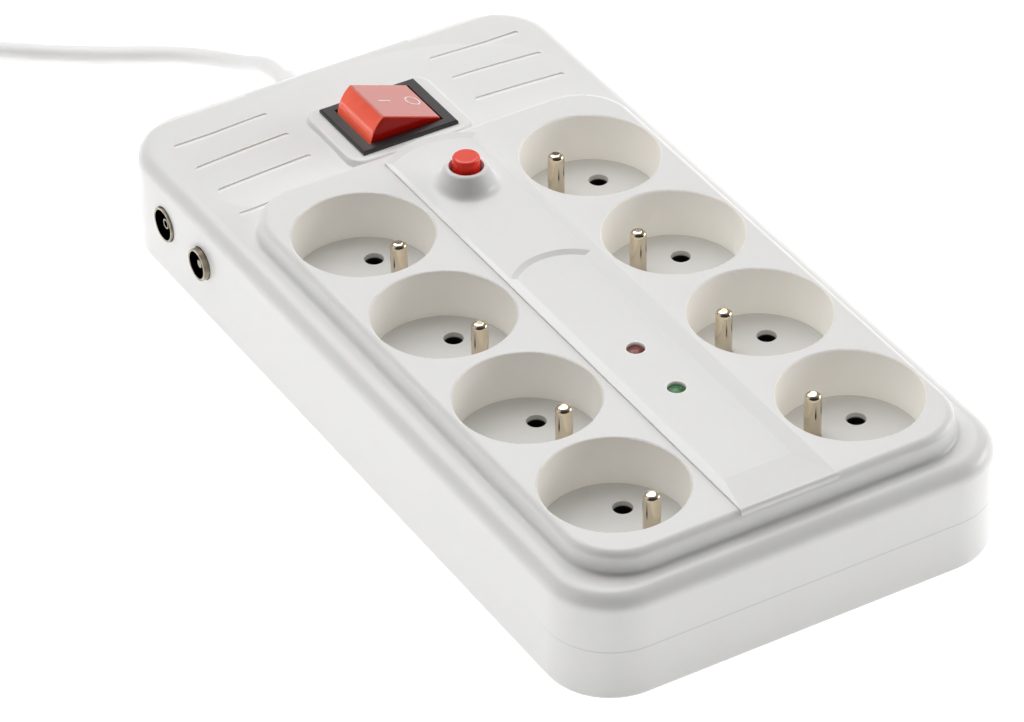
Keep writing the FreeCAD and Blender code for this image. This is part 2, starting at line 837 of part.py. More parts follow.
def top_shell():
    body = new_body("top_shell")
    block_pad = pad(body, case_outline(body, "ShellBlock", SEAM, 0), RIM - SEAM)
    field = field_outline(body, "Field", RIM, 0)
    raised = pad(body, field, size("field_rise"), taper=-size("field_slope"))
    side = HALF_WIDTH - size("field_inset") / 2
    inner_edge = (-side, side, FRONT + size("field_inset") / 2, REAR - size("field_inset") / 2)
    valley = fillet(body, raised, size("valley_round"),
                    lambda edge: at_height(edge, RIM) and within(edge, *inner_edge))
    shoulder = fillet(body, valley, size("field_round"), lambda edge: at_height(edge, FIELD_TOP))
    rim = fillet(body, shoulder, size("rim_round"),
                 lambda edge: at_height(edge, RIM) and not within(edge, *inner_edge))
    crown(body, "Crown")
    centre_strip(body)
    boss = sketch_on(body, "Boss", offset=TRAY_FLOOR - 0.5)
    circle(boss, 0, BUTTON_Y, size("boss_radius"))
    cone = pad(body, boss, BOSS_TOP - TRAY_FLOOR + 0.5, taper=-size("boss_slope"))
    around_boss = (-size("boss_radius"), size("boss_radius"),
                   BUTTON_Y - size("boss_radius"), BUTTON_Y + size("boss_radius"))
    foot = fillet(body, cone, size("boss_foot_round"),
                  lambda edge: at_height(edge, TRAY_FLOOR) and within(edge, *around_boss))
    fillet(body, foot, size("boss_top_round"), lambda edge: at_height(edge, BOSS_TOP))

    # Raised pad under the switch
    frame = sketch_on(body, "SwitchPad", offset=RIM)
    half_width, half_length = size("pad_width") / 2, size("pad_length") / 2
    rounded_rectangle(frame, -half_width, half_width, SWITCH_Y - half_length,
                      SWITCH_Y + half_length, size("pad_corner"))
    frame_pad = pad(body, frame, size("pad_height"), taper=-size("pad_slope"))
    fillet(body, frame_pad, size("pad_round"), lambda edge: at_height(edge, PAD_TOP))
    vents(body)

    # Hollow underside with the well tubes, screw bosses and board bosses
    pocket(body, case_outline(body, "Cavity", SEAM, size("case_wall")), RIM_ROOF - SEAM,
           along_normal=True)
    pocket(body, field_outline(body, "FieldCavity", SEAM, size("field_wall")),
           FIELD_ROOF - SEAM, along_normal=True)
    tubes = well_circles(body, "Tubes", SOCKET_FLANGE_TOP, TUBE_RADIUS)
    pad(body, tubes, FIELD_ROOF - SOCKET_FLANGE_TOP + 0.5)
    bosses = circles_at(body, "ScrewBosses", SEAM, screw_places(), size("screw_boss_diameter"))
    pad(body, bosses, RIM_ROOF - SEAM + 0.5)
    board_bosses = circles_at(body, "BoardBosses", BOARD_TOP, board_screw_places(),
                              size("board_boss_diameter"))
    pad(body, board_bosses, FIELD_ROOF - BOARD_TOP + 0.5)

    # Openings
    wells = well_circles(body, "Wells", FIELD_TOP + 1, WELL_RADIUS)
    bores = pocket(body, wells, FIELD_TOP + 1 - SOCKET_FLANGE_TOP)
    fillet(body, bores, size("well_lip_round"),
           lambda edge: at_height(edge, FIELD_TOP) and edge.Curve.TypeId == "Part::GeomCircle"
           and abs(edge.Curve.Radius - float(WELL_RADIUS)) < 0.01)
    window = sketch_on(body, "SwitchWindow", offset=PAD_TOP + 1)
    clear = size("panel_clearance")
    rectangle(window, -HOUSING_HALF_WIDTH - clear, HOUSING_HALF_WIDTH + clear,
              SWITCH_Y - HOUSING_HALF_LENGTH - clear, SWITCH_Y + HOUSING_HALF_LENGTH + clear)
    pocket(body, window, PAD_TOP + 1 - RIM_ROOF + 1)
    button = circles_at(body, "ButtonHole", BOSS_TOP + 1, [(0, BUTTON_Y)],
                        size("button_hole_diameter"))
    pocket(body, button, BOSS_TOP + 1 - FIELD_ROOF + 0.5)
    lamps = circles_at(body, "LampHoles", STRIP_TOP + 1, [(0, RED_Y), (0, GREEN_Y)],
                       size("lamp_hole_diameter"))
    pocket(body, lamps, STRIP_TOP + 1 - FIELD_ROOF + 0.5)
    thread = size("screw_diameter") + size("screw_clearance") * 2
    pilots = circles_at(body, "Pilots", SEAM, screw_places(), thread)
    pocket(body, pilots, size("screw_length") - SEAM + size("screw_recess_depth") + 1,
           along_normal=True)
    board_thread = size("clamp_screw_diameter") + size("screw_clearance") * 2
    board_pilots = circles_at(body, "BoardPilots", BOARD_TOP, board_screw_places(), board_thread)
    pocket(body, board_pilots, BOARD_SCREW_REACH + 0.5, along_normal=True)
    open_walls(body)
    return keep(body)


def board_screw_places():
    inset = size("board_boss_inset")
    return [(0, BOARD_FRONT + inset), (0, BOARD_REAR - inset)]


def keyholes(body):
    """Two keyholes for wall screws, each under a closed hood."""
    for name, y in (("Front", size("keyhole_front")), ("Rear", size("keyhole_rear"))):
        middle = y + size("keyhole_reach") / 2
        hood = sketch_on(body, name + "Hood", offset=size("base_floor") - 0.5)
        half = size("hood_width") / 2
        reach = size("hood_length") / 2
        wall = size("hood_wall")
        rectangle(hood, -half - wall, half + wall, middle - reach - wall, middle + reach + wall)
        pad(body, hood, size("hood_height") + wall + 0.5)
        room = sketch_on(body, name + "Room", offset=size("base_floor"))
        rectangle(room, -half, half, middle - reach, middle + reach)
        pocket(body, room, size("hood_height"), along_normal=True)
        entry = circles_at(body, name + "Entry", -1, [(0, y)], size("keyhole_diameter"))
        pocket(body, entry, size("base_floor") + 1.5, along_normal=True)
        slot = sketch_on(body, name + "Slot", offset=-1)
        side = size("keyhole_slot") / 2
        outline(slot, [(-side, y), (side, y), (side, y + size("keyhole_reach")),
                       (-side, y + size("keyhole_reach"))], {2: side})
        pocket(body, slot, size("base_floor") + 1.5, along_normal=True)


def bottom_shell():
    body = new_body("bottom_shell")
    floor = size("base_floor")
    tray = pad(body, case_outline(body, "Tray", 0, 0), SEAM)
    fillet(body, tray, size("base_round"), lambda edge: at_height(edge, 0))
    pocket(body, case_outline(body, "TrayCavity", SEAM, size("case_wall")), SEAM - floor)

    # Lip that locates the upper shell
    inner = WALL_AND_LIP
    root_depth = size("lip_thickness") * 3
    lip_root = case_outline(body, "LipRoot", SEAM - root_depth, size("case_wall") - 0.5)
    add_inner_outline(lip_root, inner)
    pad(body, lip_root, root_depth)
    lip = case_outline(body, "Lip", SEAM - 0.5, size("case_wall") + size("lip_clearance"))
    add_inner_outline(lip, inner)
    pad(body, lip, size("lip_height") + 0.5)

    # Posts and ribs that carry the inner parts
    posts = circles_at(body, "ScrewPosts", floor - 0.5, screw_places(),
                       size("screw_post_diameter"))
    pad(body, posts, SEAM - floor + 0.5)
    socket_posts = circles_at(body, "SocketPosts", floor - 0.5, socket_post_places(),
                              size("socket_post_diameter"))
    pad(body, socket_posts, SOCKET_UNDERSIDE - floor + 0.5)
    spread = size("breaker_post_spacing") / 2
    breaker_posts = circles_at(body, "BreakerPosts", floor - 0.5,
                               [(0, BUTTON_Y - spread), (0, BUTTON_Y + spread)],
                               size("socket_post_diameter"))
    pad(body, breaker_posts, BREAKER_UNDERSIDE - floor + 0.5)
    clamp_posts = circles_at(body, "ClampPosts", floor - 0.5, clamp_screw_places(),
                             size("clamp_post_diameter"))
    pad(body, clamp_posts, CLAMP_UNDERSIDE - floor + 0.5)
    cord_rest = sketch_on(body, "CordRest", offset=floor - 0.5)
    reach = size("clamp_length") / 2
    rectangle(cord_rest, -CORD_RADIUS, CORD_RADIUS, CLAMP_Y - reach, CLAMP_Y + reach)
    pad(body, cord_rest, CORD_Z - CORD_RADIUS - floor + 0.5)
    coax_rest(body)
    rail_rests(body)
    keyholes(body)

    # Screw holes with recessed seats, then the wall openings
    seats = circles_at(body, "ScrewSeats", 0, screw_places(), size("screw_recess_diameter"))
    pocket(body, seats, size("screw_recess_depth"), along_normal=True)
    passage = size("screw_diameter") + size("screw_clearance") * 2
    holes = circles_at(body, "ScrewHoles", 0, screw_places(), passage)
    pocket(body, holes, SEAM + size("lip_height") + 1, along_normal=True)
    clamp_thread = size("clamp_screw_diameter") + size("screw_clearance") * 2
    threads = circles_at(body, "ClampThreads", CLAMP_UNDERSIDE, clamp_screw_places(), clamp_thread)
    pocket(body, threads, size("clamp_screw_bite") + 0.5)
    open_walls(body)
    return keep(body)


def add_inner_outline(sketch, inset):
    rounded_rectangle(sketch, -HALF_WIDTH + inset, HALF_WIDTH - inset,
                      FRONT + inset, REAR - inset, size("case_corner") - inset)


def socket_post_places():
    """Two posts under each socket, one at each side."""
    x, y = size("socket_post_x"), size("socket_post_y")
    places = []
    for column, sign in COLUMNS:
        for row in ROWS:
            places.append((column - x * sign, row + y * sign))
            places.append((column + x * sign, row - y * sign))
    return places


def clamp_screw_places():
    side = size("clamp_screw_spacing") / 2
    return [(-side, CLAMP_Y), (side, CLAMP_Y)]


def coax_rest(body):
    """Two slotted blocks on the floor that hold the aerial board upright."""
    floor = size("base_floor")
    wall = size("coax_rest_wall")
    board = size("coax_board_thickness")
    gap = size("tab_clearance")
    blocks = sketch_on(body, "CoaxRest", offset=floor - 0.5)
    slots = sketch_on(body, "CoaxRestSlot", offset=COAX_BOARD_UNDERSIDE)
    half = size("coax_rest_width") / 2
    for sign in (-1, 1):
        y = COAX_MIDDLE_Y + size("coax_rest_spacing") / 2 * sign
        rectangle(blocks, COAX_BOARD_X - gap - wall, COAX_BOARD_X + board + gap + wall,
                  y - half, y + half)
        rectangle(slots, COAX_BOARD_X - gap, COAX_BOARD_X + board + gap, y - half - 1, y + half + 1)
    pad(body, blocks, COAX_BOARD_UNDERSIDE + size("coax_rest_overlap") - floor + 0.5)
    pocket(body, slots, size("coax_rest_overlap") + 1, along_normal=True)


def rail_rests(body):
    """Low blocks that the live and neutral rails lie on, midway between their contacts."""
    floor = size("base_floor")
    sketch = sketch_on(body, "RailRests", offset=floor - 0.5)
    half = size("rail_width") / 2
    depth = size("rail_thickness") * 2
    for x, left_shift, right_shift, _ in RAIL_LINES.values():
        for column, shift in ((-x, left_shift), (x, right_shift)):
            for row in ROWS:
                y = row + shift + ROW_PITCH / 2 - half
                rectangle(sketch, column - half, column + half, y - depth, y + depth)
    pad(body, sketch, size("rail_height") - floor + 0.5)


def screw(name, x, y, seat, head, head_height, shank, length, up=True):
    """A screw whose head rests on the seat; its shank runs up or down from there."""
    if up:
        parts = [rod(name + "Head", x, y, seat - head_height, head, head_height),
                 rod(name + "Shank", x, y, seat, shank, length)]
    else:
        parts = [rod(name + "Head", x, y, seat, head, head_height),
                 rod(name + "Shank", x, y, seat - length, shank, length)]
    return joined(name, parts)


def housing_screws():
    screws = [screw(f"HousingScrew{index}", x, y, size("screw_recess_depth"),
                    size("screw_head_diameter"), size("screw_head_height"),
                    size("screw_diameter"), size("screw_length"))
              for index, (x, y) in enumerate(screw_places(), start=1)]
    return keep(grouped("housing_screws", screws))


# Sockets

def turn_over(body, sign):
    """The right-hand column faces the other way round."""
    if sign < 0:
        body.Placement.Rotation = Rotation(Vector(0, 0, 1), 180)


def socket_floor(number, column, row, sign):
    """The insulating floor of one well, with two chimneys for the plug's pins."""
    body = new_body(f"socket_floor_{number}", column, row, 0)
    turn_over(body, sign)
    flange = circles_at(body, "Flange", SOCKET_UNDERSIDE, [(0, 0)], TUBE_RADIUS * 2)
    pad(body, flange, size("socket_flange"))
    step = circles_at(body, "Step", SOCKET_FLANGE_TOP - 0.5, [(0, 0)],
                      size("well_diameter") - size("socket_step_clearance") * 2)
    pad(body, step, size("socket_step") + 0.5)
    holes = [(-HOLE_REACH, -HOLE_REACH), (HOLE_REACH, HOLE_REACH)]
    chimneys = circles_at(body, "Chimneys", CHIMNEY_END, holes,
                          size("hole_diameter") + size("chimney_wall") * 2)
    pad(body, chimneys, size("chimney_length") + 0.5)
    bores = circles_at(body, "PinHoles", CHIMNEY_END - 1, holes, size("hole_diameter"))
    pocket(body, bores, WELL_FLOOR - CHIMNEY_END + 2, along_normal=True)
    seat = size("pin_diameter") + size("pin_seat_clearance") * 2
    earth = circles_at(body, "EarthHole", SOCKET_UNDERSIDE - 1, [(EARTH_REACH, -EARTH_REACH)], seat)
    pocket(body, earth, WELL_FLOOR - SOCKET_UNDERSIDE + 2, along_normal=True)
    return keep(body)


def earth_pin(number, column, row, sign):
    """A turned pin with a flange under the well's floor, riveted to the earth rail."""
    x = column + EARTH_REACH * sign
    y = row - EARTH_REACH * sign
    body = new_body(f"earth_pin_{number}", x, y, 0)
    sketch = sketch_on(body, "Profile", "XZ_Plane")
    radius = size("pin_diameter") / 2
    root = radius - size("pin_root_relief")
    root_top = WELL_FLOOR + size("pin_root_height")
    shank = size("pin_shank_diameter") / 2
    flange = size("pin_flange_diameter") / 2
    rivet = size("rivet_head_diameter") / 2
    tip = FIELD_TOP - size("pin_below_field")
    round_tip = size("pin_tip_round")
    outline(sketch, [(0, EARTH_RAIL_UNDERSIDE - size("rivet_head")),
                     (rivet, EARTH_RAIL_UNDERSIDE - size("rivet_head")),
                     (rivet, EARTH_RAIL_UNDERSIDE), (shank, EARTH_RAIL_UNDERSIDE),
                     (shank, EARTH_RAIL_TOP), (flange, EARTH_RAIL_TOP),
                     (flange, SOCKET_UNDERSIDE), (root, SOCKET_UNDERSIDE),
                     (root, root_top), (radius, root_top),
                     (radius, tip - round_tip), (radius - round_tip, tip), (0, tip)],
            {10: round_tip})
    turned(body, sketch)
    return keep(body)


def sockets():
    number = 0
    for column, sign in COLUMNS:
        for row in ROWS:
            number += 1
            socket_floor(number, column, row, sign)
            earth_pin(number, column, row, sign)


def earth_busbar():
    """Two legs under the wells with a tab to every earth pin, linked behind the sockets."""
    link_y = LAST_ROW + size("neutral_link_from_sockets")
    width = size("earth_rail_width")
    thickness = size("earth_rail_thickness")
    tab = EARTH_REACH + size("earth_tab_beyond_pin")
    parts = [block("EarthLink", 0, link_y, EARTH_RAIL_UNDERSIDE, COLUMN * 2 + width, width,
                   thickness)]
    holes = []
    for column, sign in COLUMNS:
        start = FIRST_ROW - EARTH_REACH * sign - size("earth_tab_width") / 2
        length = link_y - start
        parts.append(block("EarthLeg", column, start + length / 2, EARTH_RAIL_UNDERSIDE,
                           width, length, thickness))
        for row in ROWS:
            y = row - EARTH_REACH * sign
            parts.append(block("EarthTab", column + tab / 2 * sign, y, EARTH_RAIL_UNDERSIDE,
                               tab, size("earth_tab_width"), thickness))
            holes.append(rod("EarthTabHole", column + EARTH_REACH * sign, y,
                             EARTH_RAIL_UNDERSIDE - 1,
                             size("pin_shank_diameter") + size("pin_seat_clearance") * 2,
                             thickness + 2))
    strips = joined("EarthStrips", parts)
    return keep(cut("earth_busbar", strips, joined("EarthHoles", holes)))


def contact_profile(body, name, x, y):
    """A springy double blade, wide at its waist and pinched near its mouth."""
    sketch = sketch_on(body, name, "XZ_Plane", -y)
    half = size("contact_gap") / 2
    blade = size("contact_thickness")
    base = size("rail_height") + size("rail_thickness")
    waist = base + size("contact_bow_height")
    mouth = CHIMNEY_END - size("contact_below_chimney")
    pinch = mouth - size("contact_pinch_below_top")
    bow = half + size("contact_bow")
    flare = half + size("contact_flare")
    right = [(half + blade, base), (bow + blade, waist), (half + blade, pinch),
             (flare + blade, mouth), (flare, mouth), (half, pinch), (bow, waist),
             (half, base + blade)]
    left = [(-across, height) for across, height in reversed(right)]
    outline(sketch, [(x + across, height) for across, height in right + left])
    return sketch


def rail(name, x, left_shift, right_shift, link_y):
    """A U-shaped rail with a pair of contact blades under every hole of its pole."""
    body = new_body(name)
    half = size("rail_width") / 2
    start_left = FIRST_ROW + left_shift - half
    start_right = FIRST_ROW + right_shift - half
    strip = sketch_on(body, "RailStrip", offset=size("rail_height"))
    outline(strip, [(-x - half, start_left), (-x + half, start_left), (-x + half, link_y - half),
                    (x - half, link_y - half), (x - half, start_right), (x + half, start_right),
                    (x + half, link_y + half), (-x - half, link_y + half)])
    pad(body, strip, size("rail_thickness"))
    for side, column, shift in (("Left", -x, left_shift), ("Right", x, right_shift)):
        blades = contact_profile(body, side + "Contact", column, FIRST_ROW + shift)
        first = centred_pad(body, blades, size("contact_width"))
        pattern = body.newObject("PartDesign::LinearPattern", side + "Contacts")
        pattern.Originals = [first]
        pattern.Direction = (origin_plane(body, "Y_Axis"), [""])
        bind(pattern, "Length", ROW_SPAN)
        pattern.Occurrences = SIZES["row_count"]
        body.Tip = pattern
    return keep(body)


# Mains switch

def tab_slots(body, name, places):
    """Slots in an underside that hold the flat terminals; the body's middle is the origin."""
    sketch = sketch_on(body, name + "Slots", offset=UNDERSIDES[name] - 1)
    clear = size("tab_clearance")
    for x, y in places:
        across = size("tab_thickness") / 2 + clear
        along = size("tab_width") / 2 + clear
        rectangle(sketch, x - across, x + across, y - along, y + along)
    pocket(body, sketch, size("tab_seat") + clear + 1, along_normal=True)


def tabs(name, node, middle_y, places):
    """Flat terminals that reach out of an underside."""
    length = size("tab_length") + size("tab_seat")
    items = [block(name + "Tab", x, middle_y + y, UNDERSIDES[name] - size("tab_length"),
                   size("tab_thickness"), size("tab_width"), length) for x, y in places]
    return keep(grouped(node, items))


UNDERSIDES = {"Switch": PAD_TOP - size("switch_depth"), "Breaker": BREAKER_UNDERSIDE}
SWITCH_TABS = [(size("tab_spacing_x") / 2 * across, size("tab_spacing_y") / 2 * along)
               for across in (-1, 1) for along in (-1, 1)]
BREAKER_TABS = [(0, size("breaker_tab_spacing") / 2 * along) for along in (-1, 1)]


def switch_housing():
    """A snap-in frame with a bevelled bezel, an open pocket and two spring clips."""
    body = new_body("switch_housing", 0, SWITCH_Y, 0)
    shaft = sketch_on(body, "Shaft", offset=UNDERSIDES["Switch"])
    rectangle(shaft, -HOUSING_HALF_WIDTH, HOUSING_HALF_WIDTH,
              -HOUSING_HALF_LENGTH, HOUSING_HALF_LENGTH)
    pad(body, shaft, size("switch_depth") + 0.5)
    bezel = sketch_on(body, "Bezel", offset=PAD_TOP)
    half_width, half_length = size("bezel_width") / 2, size("bezel_length") / 2
    rectangle(bezel, -half_width, half_width, -half_length, half_length)
    frame = pad(body, bezel, size("bezel_height"))
    chamfer(body, frame, size("bezel_bevel"), lambda edge: at_height(edge, BEZEL_TOP))
    window = sketch_on(body, "Window", offset=BEZEL_TOP + 1)
    half_width, half_length = size("switch_window_width") / 2, size("switch_window_length") / 2
    rectangle(window, -half_width, half_width, -half_length, half_length)
    pocket(body, window, size("switch_cavity_depth") + 1)
    pivots = sketch_on(body, "PivotHoles", "XZ_Plane", -HOUSING_HALF_LENGTH - 1)
    circle(pivots, 0, PIVOT_Z, size("pivot_diameter") / 2 + size("pivot_clearance"))
    pocket(body, pivots, HOUSING_HALF_LENGTH * 2 + 2, along_normal=True)
    clips = sketch_on(body, "Clips", "XZ_Plane")
    top = RIM_ROOF - size("clip_gap")
    bottom = top - size("clip_height")
    for sign in (-1, 1):
        wall = (HOUSING_HALF_WIDTH - 0.5) * sign
        edge = (HOUSING_HALF_WIDTH + size("clip_reach")) * sign
        points = [(wall, bottom), (edge, top), (wall, top)]
        outline(clips, points if sign > 0 else points[::-1])
    centred_pad(body, clips, size("clip_width"))
    tab_slots(body, "Switch", SWITCH_TABS)
    return keep(body)


def switch_rocker():
    """A rocker with its end faces curved about the pivot, rocked with its +X end down."""
    body = new_body("switch_rocker", 0, SWITCH_Y, PIVOT_Z)
    body.Placement.Rotation = Rotation(Vector(0, 1, 0), SIZES["rocker_tilt"])
    bind(body, "Placement.Rotation.Angle", size("rocker_tilt"))
    top = size("rocker_top")
    chord = size("rocker_half_chord")
    skirt = size("rocker_skirt")
    radius = root(top * top + chord * chord)
    foot = root(radius * radius - skirt * skirt)
    half_length = size("switch_window_length") / 2 - size("rocker_side_gap")
    side = sketch_on(body, "Side", "XZ_Plane")
    outline(side, [(-foot, -skirt), (foot, -skirt), (chord, top), (-chord, top)],
            {1: radius, 3: radius})
    cap = centred_pad(body, side, half_length * 2)
    fillet(body, cap, size("rocker_edge_round"),
           lambda edge: at_height(edge, top) or edge.BoundBox.ZMax > float(top) - 0.01)
    toggle = sketch_on(body, "Toggle", "XZ_Plane")
    half = size("toggle_width") / 2
    rectangle(toggle, -half, half, -skirt - size("toggle_length"), -skirt + 0.5)
    centred_pad(body, toggle, size("toggle_width"))
    pivot = sketch_on(body, "Pivot", "XZ_Plane")
    circle(pivot, 0, 0, size("pivot_diameter") / 2)
    centred_pad(body, pivot, (size("switch_window_length") / 2 + size("pivot_length")) * 2)
    return keep(body)


# Resettable breaker

def breaker_body():
    body = new_body("breaker_body", 0, BUTTON_Y, 0)
    case = sketch_on(body, "Case", offset=BREAKER_UNDERSIDE)
    half_width, half_length = size("breaker_width") / 2, size("breaker_length") / 2
    rectangle(case, -half_width, half_width, -half_length, half_length)
    pad(body, case, size("breaker_height"))
    neck = circles_at(body, "Neck", FIELD_ROOF - 0.5, [(0, 0)], size("neck_diameter"))
    pad(body, neck, BOSS_TOP - size("neck_below_boss") - FIELD_ROOF + 0.5)
    bore = circles_at(body, "Bore", SPRING_FLOOR, [(0, 0)],
                      size("cap_diameter") + size("cap_clearance") * 2)
    pocket(body, bore, BOSS_TOP - SPRING_FLOOR, along_normal=True)
    tab_slots(body, "Breaker", BREAKER_TABS)
    return keep(body)


def reset_cap():
    body = new_body("reset_cap", 0, BUTTON_Y, 0)
    foot = BOSS_TOP - size("cap_sunk")
    stem = circles_at(body, "Stem", foot, [(0, 0)], size("cap_diameter"))
    cap = pad(body, stem, size("cap_sunk") + size("cap_above_boss"))
    top = BOSS_TOP + size("cap_above_boss")
    fillet(body, cap, size("cap_round"), lambda edge: at_height(edge, top))
    return keep(body)


def breaker_spring():
    """The compression spring that lifts the cap; its wire just touches the floor and the cap."""
    wire = SIZES["spring_wire"]
    height = SPRING_LENGTH.value - wire * 1.1
    radius = SIZES["cap_diameter"] / 2 - wire
    path = Part.makeHelix(height / SIZES["spring_turns"], height, radius)
    section = Part.Wire(Part.makeCircle(wire / 2, Vector(radius, 0, 0), Vector(0, 1, 0)))
    shape = Part.Wire(path).makePipeShell([section], True, True)
    middle = Vector(0, BUTTON_Y.value, SPRING_FLOOR.value + wire * 0.55)
    return keep(feature("breaker_spring", shape, middle))


def feature(name, shape, at=Vector()):
    item = doc.addObject("Part::Feature", name)
    item.Label = name
    item.Shape = shape
    item.Placement = Placement(at, Rotation())
    return item


# Protection board, hung under the channel between the two columns of sockets

def board_screws():
    reach = size("board_thickness") + BOARD_SCREW_REACH
    screws = [screw(f"BoardScrew{index}", x, y, BOARD_UNDERSIDE, size("clamp_screw_head"),
                    size("clamp_screw_head_height"), size("clamp_screw_diameter"), reach)
              for index, (x, y) in enumerate(board_screw_places(), start=1)]
    return keep(grouped("board_screws", screws))


def protection_board():
    length = BOARD_REAR - BOARD_FRONT
    plate = block("BoardPlate", 0, BOARD_FRONT + length / 2, BOARD_UNDERSIDE, BOARD_HALF * 2,
                  length, size("board_thickness"))
    hole = size("clamp_screw_diameter") + size("screw_clearance") * 2
    holes = [rod("BoardHole", x, y, BOARD_UNDERSIDE - 1, hole, size("board_thickness") + 2)
             for x, y in board_screw_places()]
    return keep(cut("protection_board", plate, joined("BoardHoles", holes)))


def lamp(name, y):
    """A domed indicator lamp standing on the board."""
    body = new_body(name, 0, y, BOARD_TOP)
    sketch = sketch_on(body, "Profile", "XZ_Plane")
    radius = size("lamp_diameter") / 2
    flange = size("lamp_flange_diameter") / 2
    dome = size("lamp_dome")
    outline(sketch, [(0, 0), (flange, 0), (flange, size("lamp_flange")),
                     (radius, size("lamp_flange")), (radius, size("lamp_height") - dome),
                     (0, size("lamp_height"))],
            {4: (radius * radius + dome * dome) / (dome * 2)})
    turned(body, sketch)
    return keep(body)


def leads(name, places):
    """Short wires from a component's top to the board above it."""
    return [rod(name + "Lead", x, y, BOARD_UNDERSIDE - size("lead_length"),
                size("lead_diameter"), size("lead_length")) for x, y in places]


def board_components():
    """Varistors, a film capacitor, a thermal fuse and the lamps' resistors under the board."""
    hang = BOARD_UNDERSIDE - size("lead_length")
    bite = size("lead_diameter") / 2
    discs = []
    for index in range(SIZES["varistor_count"]):
        y = BOARD_REAR - size("varistor_from_board_rear") - size("varistor_pitch") * index
        radius = size("varistor_diameter") / 2
        disc = rod("VaristorDisc", 0, y - size("varistor_thickness") / 2, hang - radius,
                   size("varistor_diameter"), size("varistor_thickness"), ALONG_Y)
        stubs = [rod("VaristorLead", side * radius * 0.5, y, hang - radius * 0.5,
                     size("lead_diameter"), size("lead_length") + radius * 0.5)
                 for side in (-1, 1)]
        discs.append(joined(f"Varistor{index + 1}", [disc] + stubs))
    keep(grouped("varistors", discs))

    y = BOARD_REAR - size("capacitor_from_board_rear")
    width, length = size("capacitor_length"), size("capacitor_width")
    case = block("CapacitorCase", 0, y, hang - size("capacitor_height"), width, length,
                 size("capacitor_height"))
    reach = width / 2 - bite * 4
    keep(joined("suppression_capacitor", [case] + leads("Capacitor", [(-reach, y), (reach, y)])))

    y = (BOARD_REAR - size("varistor_from_board_rear")
         - size("varistor_pitch") * (SIZES["varistor_count"] - 0.5))
    x = size("fuse_from_board_middle")
    half = size("fuse_length") / 2
    tube = rod("FuseTube", x, y - half, hang - size("fuse_diameter") / 2 + bite,
               size("fuse_diameter"), size("fuse_length"), ALONG_Y)
    ends = [(x, y - half + bite * 2), (x, y + half - bite * 2)]
    keep(joined("thermal_fuse", [tube] + leads("Fuse", ends)))

    bodies = []
    half = size("resistor_length") / 2
    for index in range(SIZES["resistor_count"]):
        x = size("resistor_pitch") * (index - (SIZES["resistor_count"] - 1) / 2)
        y = RED_Y - size("resistor_before_red")
        tube = rod("ResistorTube", x, y - half, hang - size("resistor_diameter") / 2 + bite,
                   size("resistor_diameter"), size("resistor_length"), ALONG_Y)
        ends = [(x, y - half + bite * 2), (x, y + half - bite * 2)]
        bodies.append(joined(f"Resistor{index + 1}", [tube] + leads("Resistor", ends)))
    keep(grouped("lamp_resistors", bodies))


# Aerial connectors

def coax_connector(name, y, diameter, bore, proud, contact, contact_bore=None):
    """A metal shell through the left wall, its insulator and its middle contact."""
    height = size("coax_height")
    face = -HALF_WIDTH - proud
    length = COAX_BOARD_X - face
    seat = WALL_AND_LIP - HALF_WIDTH
    tube = rod(name + "Tube", face, y, height, diameter, length, ALONG_X)
    collar = rod(name + "Collar", seat, y, height, size("coax_flange_diameter"),
                 size("coax_flange"), ALONG_X)
    inside = rod(name + "Inside", face - 1, y, height, bore, length + 2, ALONG_X)
    keep(cut(f"coax_{name}_shell", joined(name + "Barrel", [tube, collar]), inside))

    start = face + size("coax_contact_sunk")
    reach = COAX_BOARD_X - start
    pin = rod(name + "Pin", start, y, height, contact, reach, ALONG_X)
    plug_bore = rod(name + "PinRoom", COAX_BOARD_X - size("coax_insulator") - 1, y, height, contact,
                    size("coax_insulator") + 2, ALONG_X)
    disc = rod(name + "Disc", COAX_BOARD_X - size("coax_insulator"), y, height, bore,
               size("coax_insulator"), ALONG_X)
    keep(cut(f"coax_{name}_insulator", disc, plug_bore))
    if contact_bore is None:
        pin.Label = f"coax_{name}_contact"
        keep(pin)
        return
    hollow = rod(name + "Hollow", start - 1, y, height, contact_bore,
                 reach - size("coax_insulator") + 1, ALONG_X)
    keep(cut(f"coax_{name}_contact", pin, hollow))


def coax_parts():
    coax_connector("input", COAX_INPUT_Y, size("coax_input_diameter"), size("coax_input_bore"),
                   size("coax_input_proud"), size("coax_sleeve_diameter"),
                   size("coax_sleeve_bore"))
    coax_connector("output", COAX_OUTPUT_Y, size("coax_output_diameter"),
                   size("coax_output_bore"), size("coax_output_proud"),
                   size("coax_pin_diameter"))
    board = block("coax_board", COAX_BOARD_X + size("coax_board_thickness") / 2, COAX_MIDDLE_Y,
                  COAX_BOARD_UNDERSIDE, size("coax_board_thickness"),
                  size("coax_pitch") + size("coax_board_margin") * 2, size("coax_board_height"))
    keep(board)
    tube = rod("gas_tube", COAX_BOARD_X + size("coax_board_thickness"), COAX_MIDDLE_Y,
               size("coax_height"), size("gas_tube_diameter"), size("gas_tube_length"), ALONG_X)
    keep(tube)


# Mains cord

